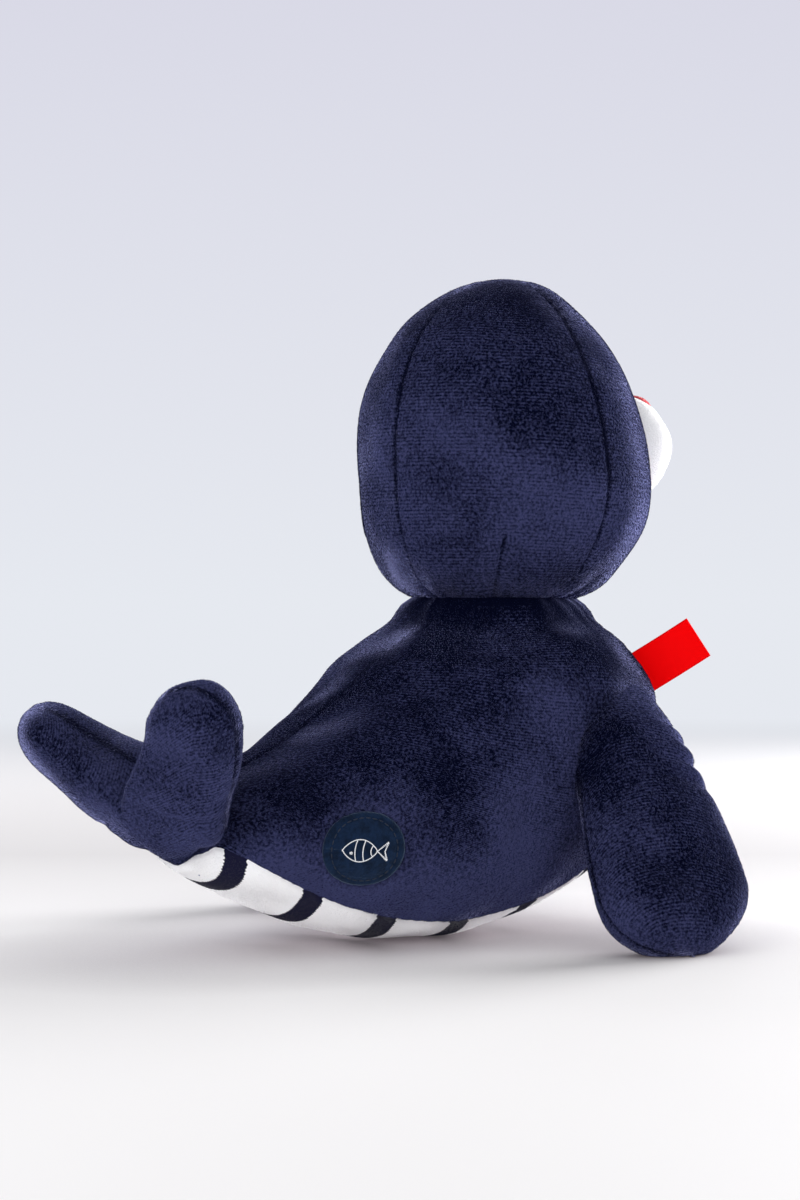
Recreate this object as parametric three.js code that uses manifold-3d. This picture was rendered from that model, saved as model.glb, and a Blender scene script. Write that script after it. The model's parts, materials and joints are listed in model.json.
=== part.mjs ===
// Stuffed seal: pile-cloth body, head and flippers, sewn from panels round soft filling.
// Millimetres, +Z up. The seal looks along -Y, its left side is +X, and it lies on Z = 0.

import * as THREE from 'three';
import { mergeVertices } from 'three/addons/utils/BufferGeometryUtils.js';
import Module from 'manifold-3d';

const wasm = await Module();
wasm.setup();

// Cloth and clearances
const CLOTH = 2.4; // pile cloth with its pile laid down
const FIT = 0.3; // between sewn neighbours, and between cloth and filling
const SWING_FIT = 0.7; // round a root or a neck that turns
const FLAT_DEPTH = 0.5; // how far resting cloth is pressed flat

// Neck, and the point that the head turns and nods about
const NECK_RADIUS = 32;
const NECK_HEIGHT = 112;
const NECK_SETBACK = 4.5; // neck axis behind the head's axis
const NECK_PIVOT_DROP = 20.5; // pivot below the neck seam
const NECK_PLUG_DEPTH = 14; // filling that the neck holds below its seam
const COLLAR_HEIGHT = 7;
const COLLAR_FLARE = 2.5;

// Body from the shoulders to the tail: back ridge, keel and half width of each section,
// and the half angle of the striped belly panel, seen from the keel
const BODY_SECTIONS = [
  { name: 'shoulder', ridge: [50, 97.5], keel: [-41, 96], halfWidth: 43.5, belly: 42 },
  { name: 'chest', ridge: [62, 90], keel: [-52, 78], halfWidth: 53.5, belly: 45 },
  { name: 'breast', ridge: [72, 82.5], keel: [-47, 42], halfWidth: 56, belly: 44 },
  { name: 'belly', ridge: [84, 75], keel: [-14, 12.5], halfWidth: 54, belly: 40 },
  { name: 'hip', ridge: [96, 68], keel: [40, -FLAT_DEPTH], halfWidth: 48, belly: 38 },
  { name: 'loin', ridge: [109, 62], keel: [86, 5], halfWidth: 39, belly: 42 },
  { name: 'tail', ridge: [123, 56], keel: [118, 17], halfWidth: 28, belly: 54 },
  { name: 'tail end', ridge: [136, 50], keel: [138, 25.5], halfWidth: 16, belly: 78 },
];
const TAIL_CAP = 8; // round end behind the last section
const TAIL_TAPER = 0.75; // how much the belly panel narrows round that end

// Head: an egg that meets the neck seam
const HEAD_RADIUS = 50.8;
const HEAD_RISE = 39; // widest part above the neck seam
const HEAD_CROWN = 70; // crown above the widest part
const HEAD_LEAN = 3.2; // how far the back of the head bulges

// Muzzle, nose and eyes
const MUZZLE_HALF_WIDTH = 28;
const MUZZLE_HALF_HEIGHT = 20.5;
const MUZZLE_HALF_DEPTH = 18;
const MUZZLE_RISE = 13.5; // above the widest part of the head
const MUZZLE_SET = 1; // its middle inside the face
const NOSE_HALF_WIDTH = 9;
const NOSE_HALF_HEIGHT = 5.5;
const NOSE_HALF_DEPTH = 6.5;
const NOSE_PITCH = 45; // degrees up the muzzle's front
const EYE_RADIUS = 5;
const EYE_HALF_DEPTH = 2.2;
const EYE_PITCH = 33; // degrees up the head
const EYE_TURN = 28; // degrees off the middle of the face

// Front flippers
const FRONT_LENGTH = 72; // hinge line to tip
const FRONT_HALF_WIDTH = 27;
const FRONT_HALF_THICKNESS = 13.5;
const FRONT_ROOT_HALF_WIDTH = 23;
const FRONT_ROOT_HALF_THICKNESS = 13.5;
const FRONT_TIP = 26; // length of the round end
const FRONT_SINK = 7; // root inside the body
const FRONT_ROOT_ANGLE = 78; // degrees round the body from the keel
const FRONT_SWEEP = 24; // degrees back from straight out
const FRONT_TWIST = 15; // degrees that the leading edge turns out
const FRONT_LIFT = 60; // degrees of swing up
const FRONT_DROP = 8; // degrees of swing down, when the floor is away

// Hind flippers
const HIND_LENGTH = 49;
const HIND_HALF_WIDTH = 14.5;
const HIND_HALF_THICKNESS = 11.5;
const HIND_ROOT_HALF_WIDTH = 13;
const HIND_ROOT_HALF_THICKNESS = 10;
const HIND_TIP = 16;
const HIND_SINK = 6.5;
const HIND_ROOT_ANGLE = 121;
const HIND_ROOT_PAST = 0.3; // share of the tail's round end that lies before it
const HIND_SWEEP = 42;
const HIND_TWIST = 42;
const HIND_RISE_RIGHT = 55; // degrees above level, the right one held higher
const HIND_RISE_LEFT = 38;
const HIND_BEND = 25; // degrees of swing either way

// Hip patch and ribbon label
const PATCH_RADIUS = 13.5;
const PATCH_THICKNESS = 1.2;
const RIBBON_PLACE = 0.4; // sections in front of the chest section
const RIBBON_WIDTH = 15;
const RIBBON_LENGTH = 21.5;
const RIBBON_THICKNESS = 1.4; // both layers of the folded ribbon

// How finely the cloth is divided
const ROWS_PER_SECTION = 2;
const CAP_ROWS = 2;
const SIDE_COLUMNS = 6;
const BELLY_COLUMNS = 4;
const HEAD_ROWS = 10;
const GORE_COLUMNS = 4;
const LIMB_ROWS = 3;
const LIMB_COLUMNS = 6;
const ROUND_SIDES = 20;
const SOCKET_SIDES = 16;
const FACE_SIDES = 14;
const TRIM_SIDES = 10;
const RIBBON_EDGE_SIDES = 6;
const DOME_ROWS = 3;
const FILLING_SKIP = 2; // cloth columns to one side of the filling
const PANEL_CAP_END = 0.95; // a panel stops short of a round end's point
const GORE_END = 0.98; // and a gore short of the crown
const DOME_START = 0.9; // share of the neck's radius where its dome begins
const ANGLE_STEP = 0.01; // for directions along a surface
const DROOP_STEPS = 40; // halvings that find where a flipper meets the floor
const FAR = 1000; // beyond every piece

const X_AXIS = new THREE.Vector3(1, 0, 0);
const Y_AXIS = new THREE.Vector3(0, 1, 0);
const Z_AXIS = new THREE.Vector3(0, 0, 1);
const QUARTER = Math.PI / 2;
const radians = THREE.MathUtils.degToRad;
const mix = THREE.MathUtils.lerp;

const seal = new THREE.Group();
seal.name = 'stuffed_seal';

// Colours and finishes
function cloth(color, roughness = 0.95) {
  return new THREE.MeshStandardMaterial({ color, roughness, metalness: 0 });
}

const navyPile = cloth(0x1c1f3f);
const stripedJersey = cloth(0xeceef2);
const whitePile = cloth(0xf4f4f4);
const redCloth = cloth(0xc81424, 0.7);
const redSatin = cloth(0xd8121a, 0.35);
const eyeThread = cloth(0x101014, 0.5);
const navyFelt = cloth(0x10283f);
const filling = cloth(0xf2f0ea);

// Closed solids from points

function toSolid(geometry) {
  const bare = new THREE.BufferGeometry();
  bare.setAttribute('position', geometry.getAttribute('position'));
  bare.setIndex(geometry.getIndex());
  const merged = mergeVertices(bare);
  const corners = merged.getIndex().array;
  const triangles = [];
  for (let i = 0; i < corners.length; i += 3) {
    const [a, b, c] = corners.slice(i, i + 3);
    if (a !== b && b !== c && c !== a) triangles.push(a, b, c);
  }
  const solid = new wasm.Manifold(new wasm.Mesh({
    numProp: 3,
    vertProperties: new Float32Array(merged.getAttribute('position').array),
    triVerts: new Uint32Array(triangles),
  }));
  return solid;
}

function fromPoints(points, triangles) {
  let volume = 0;
  for (let i = 0; i < triangles.length; i += 3) {
    const [a, b, c] = triangles.slice(i, i + 3).map((corner) => points[corner]);
    volume += a.dot(b.clone().cross(c));
  }
  const outward = volume < 0 ? triangles.toReversed() : triangles;
  const geometry = new THREE.BufferGeometry().setFromPoints(points);
  geometry.setIndex(outward);
  return toSolid(geometry);
}

// A loft through closed rings, with an end face or a point at each end
function loft(rings) {
  const sides = rings[0].length;
  const points = rings.flat();
  const triangles = [];
  for (let row = 0; row + 1 < rings.length; row += 1) {
    for (let side = 0; side < sides; side += 1) {
      const next = (side + 1) % sides;
      const a = row * sides + side;
      const b = row * sides + next;
      triangles.push(a, b, b + sides, a, b + sides, a + sides);
    }
  }
  [0, rings.length - 1].forEach((row) => {
    const middle = new THREE.Vector3();
    rings[row].forEach((point) => middle.addScaledVector(point, 1 / sides));
    points.push(middle);
    for (let side = 0; side < sides; side += 1) {
      const a = row * sides + side;
      const b = row * sides + ((side + 1) % sides);
      triangles.push(...(row === 0 ? [b, a, points.length - 1] : [a, b, points.length - 1]));
    }
  });
  return fromPoints(points, triangles);
}

// A piece of cloth between an outer and an inner grid of points
function panel(pointAt, rows, columns) {
  const points = [];
  const outer = (row, column) => row * (columns + 1) + column;
  const inner = (row, column) => outer(row, column) + (rows + 1) * (columns + 1);
  [0, CLOTH].forEach((inset) => {
    for (let row = 0; row <= rows; row += 1) {
      for (let column = 0; column <= columns; column += 1) {
        points.push(pointAt(row / rows, column / columns, inset));
      }
    }
  });
  const triangles = [];
  const quad = (a, b, c, d) => triangles.push(a, b, c, a, c, d);
  for (let row = 0; row < rows; row += 1) {
    for (let column = 0; column < columns; column += 1) {
      quad(outer(row, column), outer(row, column + 1), outer(row + 1, column + 1), outer(row + 1, column));
      quad(inner(row, column), inner(row + 1, column), inner(row + 1, column + 1), inner(row, column + 1));
    }
    quad(outer(row, 0), outer(row + 1, 0), inner(row + 1, 0), inner(row, 0));
    quad(outer(row + 1, columns), outer(row, columns), inner(row, columns), inner(row + 1, columns));
  }
  for (let column = 0; column < columns; column += 1) {
    quad(outer(0, column + 1), outer(0, column), inner(0, column), inner(0, column + 1));
    quad(outer(rows, column), outer(rows, column + 1), inner(rows, column + 1), inner(rows, column));
  }
  return fromPoints(points, triangles);
}

// An ellipsoid with its poles on the first axis. Its third axis is square to the two given ones.
function ellipsoid(middle, first, second, radii, sides) {
  const geometry = new THREE.SphereGeometry(1, sides, sides / 2);
  geometry.rotateZ(-QUARTER);
  geometry.scale(...radii);
  const third = first.clone().cross(second);
  geometry.applyMatrix4(new THREE.Matrix4().makeBasis(first, second, third).setPosition(middle));
  return toSolid(geometry);
}

function boxAbove(height) {
  return toSolid(new THREE.BoxGeometry(FAR, FAR, FAR).translate(0, 0, height + FAR / 2));
}

const aboveFloor = boxAbove(0);

function addPiece(group, name, solid, material) {
  const mesh = solid.getMesh();
  const geometry = new THREE.BufferGeometry();
  geometry.setAttribute('position', new THREE.BufferAttribute(mesh.vertProperties, 3));
  geometry.setIndex(new THREE.BufferAttribute(mesh.triVerts, 1));
  geometry.computeVertexNormals();
  const piece = new THREE.Mesh(geometry, material);
  piece.name = name;
  seal.add(piece);
  group.attach(piece);
}

// A group that stands on a hinge, with its X axis along the hinge line
function addHinge(parent, pivot, axis) {
  const hinge = new THREE.Group();
  hinge.position.copy(pivot);
  hinge.quaternion.setFromUnitVectors(X_AXIS, axis);
  seal.add(hinge);
  hinge.updateWorldMatrix(true, false);
  parent.attach(hinge);
  return hinge;
}

// Body

const neckSections = [0, COLLAR_HEIGHT].map((drop) => {
  const radius = NECK_RADIUS + (drop / COLLAR_HEIGHT) * COLLAR_FLARE;
  return {
    ridge: [NECK_SETBACK + radius, NECK_HEIGHT - drop],
    keel: [NECK_SETBACK - radius, NECK_HEIGHT - drop],
    halfWidth: radius,
    belly: BODY_SECTIONS[0].belly,
  };
});
const bodySections = [...neckSections, ...BODY_SECTIONS];
const lastSection = bodySections.length - 1;
const sectionIndex = (name) => bodySections.findIndex((section) => section.name === name);
const ridgeLine = new THREE.CatmullRomCurve3(
  bodySections.map(({ ridge, halfWidth }) => new THREE.Vector3(halfWidth, ...ridge)),
);
const keelLine = new THREE.CatmullRomCurve3(
  bodySections.map(({ keel, belly }) => new THREE.Vector3(radians(belly), ...keel)),
);

function bodySection(at) {
  const share = Math.min(at / lastSection, 1);
  const ridge = ridgeLine.getPoint(share);
  const keel = keelLine.getPoint(share);
  const halfWidth = ridge.x;
  const belly = keel.x * (1 - TAIL_TAPER * Math.max(at - lastSection, 0));
  ridge.setX(0);
  keel.setX(0);
  const middle = ridge.clone().lerp(keel, 0.5);
  const down = keel.clone().sub(ridge);
  const halfHeight = down.length() / 2;
  down.normalize();
  const back = X_AXIS.clone().cross(down);
  return { middle, down, back, halfHeight, halfWidth, belly };
}

// A point of the body's skin. Places up to the last section count the sections,
// and past it the round end of the tail. The angle runs from the keel to the left.
function bodyPoint(at, angle, inset = 0) {
  const { middle, down, back, halfHeight, halfWidth } = bodySection(at);
  const bend = Math.max(at - lastSection, 0) * QUARTER;
  return middle
    .addScaledVector(down, (halfHeight - inset) * Math.cos(bend) * Math.cos(angle))
    .addScaledVector(X_AXIS, (halfWidth - inset) * Math.cos(bend) * Math.sin(angle))
    .addScaledVector(back, (TAIL_CAP - inset) * Math.sin(bend));
}

function bodyTangents(at, angle) {
  const along = bodyPoint(at + ANGLE_STEP, angle).sub(bodyPoint(at - ANGLE_STEP, angle)).normalize();
  const round = bodyPoint(at, angle + ANGLE_STEP).sub(bodyPoint(at, angle - ANGLE_STEP)).normalize();
  const out = along.clone().cross(round).normalize();
  out.multiplyScalar(Math.sign(out.dot(bodyPoint(at, angle).sub(bodySection(at).middle))));
  return { along, out };
}

function bodyPlaces(capEnd) {
  const places = [];
  for (let row = 0; row <= lastSection * ROWS_PER_SECTION; row += 1) places.push(row / ROWS_PER_SECTION);
  for (let row = 1; row <= CAP_ROWS; row += 1) places.push(lastSection + (row / CAP_ROWS) * capEnd);
  return places;
}

function seamHalfAngle(at) {
  const { halfHeight, halfWidth } = bodySection(at);
  const shrink = Math.cos(Math.max(at - lastSection, 0) * QUARTER);
  return FIT / ((halfHeight + halfWidth) * shrink);
}

function bodyPanel(startAngle, endAngle, columns) {
  const places = bodyPlaces(PANEL_CAP_END);
  const rows = places.length - 1;
  return panel((rowShare, columnShare, inset) => {
    const at = places[Math.round(rowShare * rows)];
    const { belly } = bodySection(at);
    const gap = seamHalfAngle(at);
    const angle = mix(startAngle(belly) + gap, endAngle(belly) - gap, columnShare);
    return bodyPoint(at, angle, inset);
  }, rows, columns);
}

const everySide = () => true;
const fillingSide = (_, side) => side % FILLING_SKIP === 0;

// The whole body as one solid, with its sides where the panels have theirs, turned if need be
function bodyForm(inset, keepSide = everySide, turn = new THREE.Matrix4()) {
  const rings = bodyPlaces(1).map((at) => {
    const { belly } = bodySection(at);
    const ring = [];
    for (let side = 0; side < SIDE_COLUMNS; side += 1) {
      ring.push(mix(belly, Math.PI, side / SIDE_COLUMNS));
    }
    for (let side = 0; side < SIDE_COLUMNS; side += 1) {
      ring.push(mix(Math.PI, 2 * Math.PI - belly, side / SIDE_COLUMNS));
    }
    for (let side = 0; side < BELLY_COLUMNS; side += 1) {
      ring.push(mix(-belly, belly, side / BELLY_COLUMNS));
    }
    return ring.filter(keepSide).map((angle) => bodyPoint(at, angle, inset).applyMatrix4(turn));
  });
  return loft(rings);
}

// Limbs: flippers with a root that is round about the hinge line

function limbSection(limb, at) {
  const ease = Math.sin(THREE.MathUtils.clamp(at, 0, 1) * QUARTER);
  return {
    halfWidth: mix(limb.rootHalfWidth, limb.halfWidth, ease),
    halfThickness: mix(limb.rootHalfThickness, limb.halfThickness, ease),
  };
}

// Places from -1 to 0 run round the root, from 0 to 1 along the limb, and to 2 round the tip
function limbPoint(limb, at, angle, inset = 0) {
  const { halfWidth, halfThickness } = limbSection(limb, at);
  const bend = (at < 0 ? at : Math.max(at - 1, 0)) * QUARTER;
  const straight = (limb.length - limb.tip) * THREE.MathUtils.clamp(at, 0, 1);
  const cap = (at < 0 ? limb.rootHalfThickness : limb.tip) - inset;
  return limb.pivot.clone()
    .addScaledVector(limb.reach, straight + cap * Math.sin(bend))
    .addScaledVector(limb.edge, (halfWidth - inset) * Math.cos(bend) * Math.cos(angle))
    .addScaledVector(limb.face, (halfThickness - inset) * Math.cos(bend) * Math.sin(angle));
}

function limbPlaces(capEnd) {
  const places = [];
  for (let row = -LIMB_ROWS; row <= 2 * LIMB_ROWS; row += 1) places.push(row / LIMB_ROWS);
  places[0] = -capEnd;
  places[places.length - 1] = 1 + capEnd;
  return places;
}

function limbPanel(limb, startAngle) {
  const places = limbPlaces(PANEL_CAP_END);
  const rows = places.length - 1;
  return panel((rowShare, columnShare, inset) => {
    const at = places[Math.round(rowShare * rows)];
    const bend = (at < 0 ? at : Math.max(at - 1, 0)) * QUARTER;
    const gap = FIT / 2 / (limbSection(limb, at).halfThickness * Math.cos(bend));
    const angle = startAngle + mix(gap, Math.PI - gap, columnShare);
    return limbPoint(limb, at, angle, inset);
  }, rows, LIMB_COLUMNS);
}

function limbForm(limb, inset) {
  const rings = limbPlaces(1).map((at) => {
    const ring = [];
    for (let side = 0; side < 2 * LIMB_COLUMNS; side += 1) {
      ring.push(limbPoint(limb, at, (side / LIMB_COLUMNS) * Math.PI, inset));
    }
    return ring.filter(fillingSide);
  });
  return loft(rings);
}

// The hollow that a root turns in. The limb itself fills it all but half the clearance.
function limbSocket(limb, clearance) {
  const radius = limb.rootHalfThickness + clearance;
  const radii = [limb.rootHalfWidth + clearance, radius, radius];
  return ellipsoid(limb.pivot, limb.edge, limb.reach, radii, SOCKET_SIDES);
}

// The body as a limb meets it at rest and at both ends of its swing, outside the socket
function bodyInTheWay(limb) {
  const aside = new THREE.Matrix4().setPosition(limb.pivot);
  const home = aside.clone().invert();
  const bodies = [0, ...limb.swing].map((degrees) => {
    const turn = new THREE.Matrix4().makeRotationAxis(limb.edge, radians(-degrees));
    return bodyForm(-FIT, everySide, turn.premultiply(aside).multiply(home));
  });
  return bodies.reduce((all, body) => all.add(body)).subtract(limbSocket(limb, SWING_FIT / 2));
}

// A limb's directions: the way that it reaches, its leading edge, and its outer face
function aimLimb(limb, side, droop) {
  const sweep = radians(limb.sweep);
  const twist = radians(limb.twist);
  const level = new THREE.Vector3(side * Math.cos(sweep), Math.sin(sweep), 0);
  const reach = level.multiplyScalar(Math.cos(droop)).addScaledVector(Z_AXIS, -Math.sin(droop));
  const edge = new THREE.Vector3(side * Math.sin(twist), -Math.cos(twist), 0);
  edge.addScaledVector(reach, -edge.dot(reach)).normalize();
  const face = edge.clone().cross(reach).multiplyScalar(side);
  const swing = [side * limb.lift, -side * limb.drop];
  return { ...limb, reach, edge, face, swing };
}

function lowestPoint(limb) {
  const places = limbPlaces(1);
  const heights = places.flatMap((at) => Array.from({ length: 2 * LIMB_COLUMNS },
    (_, side) => limbPoint(limb, at, (side / LIMB_COLUMNS) * Math.PI).z));
  return Math.min(...heights);
}

// The droop at which a limb's tip presses on the floor
function droopToFloor(limb, side) {
  let high = 0;
  let low = QUARTER;
  for (let step = 0; step < DROOP_STEPS; step += 1) {
    const middle = (high + low) / 2;
    if (lowestPoint(aimLimb(limb, side, middle)) > -FLAT_DEPTH) high = middle;
    else low = middle;
  }
  return low;
}

function rootPivot(place, angle, standOff) {
  const { out } = bodyTangents(place, angle);
  return bodyPoint(place, angle).addScaledVector(out, standOff);
}

const frontSize = {
  length: FRONT_LENGTH,
  halfWidth: FRONT_HALF_WIDTH,
  halfThickness: FRONT_HALF_THICKNESS,
  rootHalfWidth: FRONT_ROOT_HALF_WIDTH,
  rootHalfThickness: FRONT_ROOT_HALF_THICKNESS,
  tip: FRONT_TIP,
  sweep: FRONT_SWEEP,
  twist: FRONT_TWIST,
  lift: FRONT_LIFT,
  drop: FRONT_DROP,
};
const hindSize = {
  length: HIND_LENGTH,
  halfWidth: HIND_HALF_WIDTH,
  halfThickness: HIND_HALF_THICKNESS,
  rootHalfWidth: HIND_ROOT_HALF_WIDTH,
  rootHalfThickness: HIND_ROOT_HALF_THICKNESS,
  tip: HIND_TIP,
  sweep: HIND_SWEEP,
  twist: HIND_TWIST,
  lift: HIND_BEND,
  drop: HIND_BEND,
};
function frontLimb(side) {
  const standOff = FRONT_ROOT_HALF_THICKNESS - FRONT_SINK;
  const pivot = rootPivot(sectionIndex('breast'), side * radians(FRONT_ROOT_ANGLE), standOff);
  const limb = { ...frontSize, pivot };
  return aimLimb(limb, side, droopToFloor(limb, side));
}

function hindLimb(side) {
  const standOff = HIND_ROOT_HALF_THICKNESS - HIND_SINK;
  const pivot = rootPivot(lastSection + HIND_ROOT_PAST, side * radians(HIND_ROOT_ANGLE), standOff);
  return aimLimb({ ...hindSize, pivot }, side, -radians(side < 0 ? HIND_RISE_RIGHT : HIND_RISE_LEFT));
}

const limbs = [
  { name: 'front_flipper_right', ...frontLimb(-1) },
  { name: 'front_flipper_left', ...frontLimb(1) },
  { name: 'hind_flipper_right', ...hindLimb(-1) },
  { name: 'hind_flipper_left', ...hindLimb(1) },
];

// Torso: two pile sides, the striped belly and the filling

function cutForLimbs(solid) {
  return limbs.reduce((rest, limb) => rest.subtract(limbSocket(limb, SWING_FIT)), solid);
}

const torso = new THREE.Group();
seal.add(torso);
const leftSide = bodyPanel((belly) => belly, () => Math.PI, SIDE_COLUMNS);
const rightSide = bodyPanel(() => Math.PI, (belly) => 2 * Math.PI - belly, SIDE_COLUMNS);
const bellyPanel = bodyPanel((belly) => -belly, (belly) => belly, BELLY_COLUMNS);
addPiece(torso, 'body_left_side', cutForLimbs(leftSide), navyPile);
addPiece(torso, 'body_right_side', cutForLimbs(rightSide), navyPile);
addPiece(torso, 'belly_panel', bellyPanel.intersect(aboveFloor), stripedJersey);

const plugBottom = NECK_HEIGHT - NECK_PLUG_DEPTH;
const bodyFilling = bodyForm(CLOTH + FIT, fillingSide).subtract(boxAbove(plugBottom - FIT));
addPiece(torso, 'body_filling', cutForLimbs(bodyFilling), filling);

// Round patch on the right hip
const patchPlace = sectionIndex('loin');
const patchOut = bodyTangents(patchPlace, -QUARTER).out;
const patchCutter = new THREE.CylinderGeometry(PATCH_RADIUS, PATCH_RADIUS, 2 * PATCH_RADIUS, ROUND_SIDES);
patchCutter.applyQuaternion(new THREE.Quaternion().setFromUnitVectors(Y_AXIS, patchOut));
patchCutter.translate(...bodyPoint(patchPlace, -QUARTER).toArray());
const patch = bodyForm(-FIT - PATCH_THICKNESS).subtract(bodyForm(-FIT)).intersect(toSolid(patchCutter));
addPiece(torso, 'hip_patch', patch, navyFelt);

// Ribbon label, folded double and sewn into the right chest seam
const ribbonPlace = sectionIndex('chest') - RIBBON_PLACE;
const ribbonAngle = -bodySection(ribbonPlace).belly;
const { along: ribbonAlong, out: ribbonOut } = bodyTangents(ribbonPlace, ribbonAngle);
const ribbonRoot = bodyPoint(ribbonPlace, ribbonAngle).addScaledVector(ribbonOut, FIT);
const ribbonSide = new THREE.Shape();
ribbonSide.moveTo(0, -RIBBON_THICKNESS / 2);
ribbonSide.lineTo(RIBBON_LENGTH - RIBBON_THICKNESS / 2, -RIBBON_THICKNESS / 2);
ribbonSide.absarc(RIBBON_LENGTH - RIBBON_THICKNESS / 2, 0, RIBBON_THICKNESS / 2, -QUARTER, QUARTER);
ribbonSide.lineTo(0, RIBBON_THICKNESS / 2);
const ribbonStrip = new THREE.ExtrudeGeometry(ribbonSide,
  { depth: RIBBON_WIDTH, bevelEnabled: false, curveSegments: RIBBON_EDGE_SIDES });
ribbonStrip.translate(0, 0, -RIBBON_WIDTH / 2);
const ribbonFace = ribbonAlong.clone().cross(ribbonOut);
ribbonStrip.applyMatrix4(new THREE.Matrix4().makeBasis(ribbonOut, ribbonFace, ribbonAlong).setPosition(ribbonRoot));
const ribbonHinge = addHinge(torso, ribbonRoot, ribbonAlong);
addPiece(ribbonHinge, 'ribbon_label', toSolid(ribbonStrip), redSatin);

// Flippers: an outer and an inner panel round the filling
limbs.forEach((limb) => {
  const hinge = addHinge(torso, limb.pivot, limb.edge);
  const body = bodyInTheWay(limb);
  const cut = (solid) => solid.subtract(body).intersect(aboveFloor);
  addPiece(hinge, `${limb.name}_outer`, cut(limbPanel(limb, 0)), navyPile);
  addPiece(hinge, `${limb.name}_inner`, cut(limbPanel(limb, Math.PI)), navyPile);
  addPiece(hinge, `${limb.name}_filling`, cut(limbForm(limb, CLOTH + FIT)), filling);
});

// Neck filling: a plug that turns in the neck, with a dome that the head nods on
const neckPivot = new THREE.Vector3(0, NECK_SETBACK, NECK_HEIGHT - NECK_PIVOT_DROP);
const neckBall = Math.hypot(NECK_RADIUS, NECK_PIVOT_DROP);
const plugRadius = NECK_RADIUS - CLOTH - SWING_FIT;
const domeStart = Math.asin(plugRadius / neckBall) * DOME_START;
const plugProfile = [
  new THREE.Vector2(0, plugBottom - neckPivot.z),
  new THREE.Vector2(plugRadius + COLLAR_FLARE, plugBottom - neckPivot.z),
  new THREE.Vector2(plugRadius, NECK_HEIGHT - neckPivot.z),
];
for (let row = 0; row <= DOME_ROWS; row += 1) {
  const tilt = domeStart * (1 - row / DOME_ROWS);
  plugProfile.push(new THREE.Vector2(neckBall * Math.sin(tilt), neckBall * Math.cos(tilt)));
}
const neckPlug = new THREE.LatheGeometry(plugProfile, ROUND_SIDES);
neckPlug.rotateX(QUARTER);
neckPlug.translate(...neckPivot.toArray());
const neckTurn = addHinge(torso, neckPivot, Z_AXIS);
addPiece(neckTurn, 'neck_filling', toSolid(neckPlug), filling);

// Head

const headMiddle = NECK_HEIGHT + HEAD_RISE;
const headDrop = HEAD_RISE / Math.sqrt(1 - (NECK_RADIUS / HEAD_RADIUS) ** 2);
const headBottom = -Math.asin((HEAD_RISE + CLOTH) / headDrop);

// A point of the head's skin. Pitch runs up from the widest part, and turn from the face to the left.
// Above, the back of the head bulges, and below, the head draws in over the neck.
function headPoint(pitch, turn, inset = 0) {
  const rise = (pitch > 0 ? HEAD_CROWN : headDrop) - inset;
  const radius = (HEAD_RADIUS - inset) * Math.cos(pitch);
  const over = NECK_SETBACK * (Math.sin(pitch) / Math.sin(headBottom)) ** 2;
  const lean = pitch > 0 ? HEAD_LEAN * Math.sin(2 * pitch) : over;
  return new THREE.Vector3(
    radius * Math.sin(turn),
    lean - radius * Math.cos(turn),
    headMiddle + rise * Math.sin(pitch),
  );
}

function headForm(inset, keepSide = everySide) {
  const rings = [];
  for (let row = 0; row <= HEAD_ROWS; row += 1) {
    const pitch = mix(headBottom, QUARTER, row / HEAD_ROWS);
    const ring = [];
    for (let side = 0; side < 4 * GORE_COLUMNS; side += 1) {
      ring.push(headPoint(pitch, (side / GORE_COLUMNS) * QUARTER, inset));
    }
    rings.push(ring.filter(keepSide));
  }
  return loft(rings);
}

function headGore(startTurn) {
  return panel((rowShare, columnShare, inset) => {
    const pitch = Math.min(mix(headBottom, QUARTER, rowShare), QUARTER * GORE_END);
    const gap = FIT / 2 / (HEAD_RADIUS * Math.cos(pitch));
    return headPoint(pitch, startTurn + mix(gap, QUARTER - gap, columnShare), inset);
  }, HEAD_ROWS, GORE_COLUMNS);
}

const recessRadius = neckBall + SWING_FIT;
const neckRecess = ellipsoid(neckPivot, Z_AXIS, X_AXIS,
  [recessRadius, recessRadius, recessRadius], ROUND_SIDES);
const head = addHinge(neckTurn, neckPivot, X_AXIS);
['head_front_left', 'head_back_left', 'head_back_right', 'head_front_right'].forEach((name, quarter) => {
  addPiece(head, name, headGore(quarter * QUARTER).subtract(neckRecess), navyPile);
});
addPiece(head, 'head_filling', headForm(CLOTH + FIT, fillingSide).subtract(neckRecess), filling);

// Muzzle, nose and eyes, each seated on the skin behind it
const headSeat = headForm(-FIT);
const muzzleMiddle = new THREE.Vector3(0, MUZZLE_SET - HEAD_RADIUS, headMiddle + MUZZLE_RISE);
const muzzleSize = [MUZZLE_HALF_WIDTH, MUZZLE_HALF_DEPTH, MUZZLE_HALF_HEIGHT];

function muzzleForm(inset) {
  const radii = muzzleSize.map((half) => half - inset);
  return ellipsoid(muzzleMiddle, X_AXIS, Y_AXIS, radii, FACE_SIDES);
}

addPiece(head, 'muzzle_cover', muzzleForm(0).subtract(muzzleForm(CLOTH)).subtract(headSeat), whitePile);
addPiece(head, 'muzzle_filling', muzzleForm(CLOTH + FIT).subtract(headSeat), filling);

const nosePitch = radians(NOSE_PITCH);
const noseMiddle = muzzleMiddle.clone()
  .add(new THREE.Vector3(0, -MUZZLE_HALF_DEPTH * Math.cos(nosePitch), MUZZLE_HALF_HEIGHT * Math.sin(nosePitch)));
const noseSize = [NOSE_HALF_WIDTH, NOSE_HALF_DEPTH, NOSE_HALF_HEIGHT];
const noseForm = ellipsoid(noseMiddle, X_AXIS, Y_AXIS, noseSize, TRIM_SIDES);
addPiece(head, 'nose', noseForm.subtract(muzzleForm(-FIT)).subtract(headSeat), redCloth);

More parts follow.
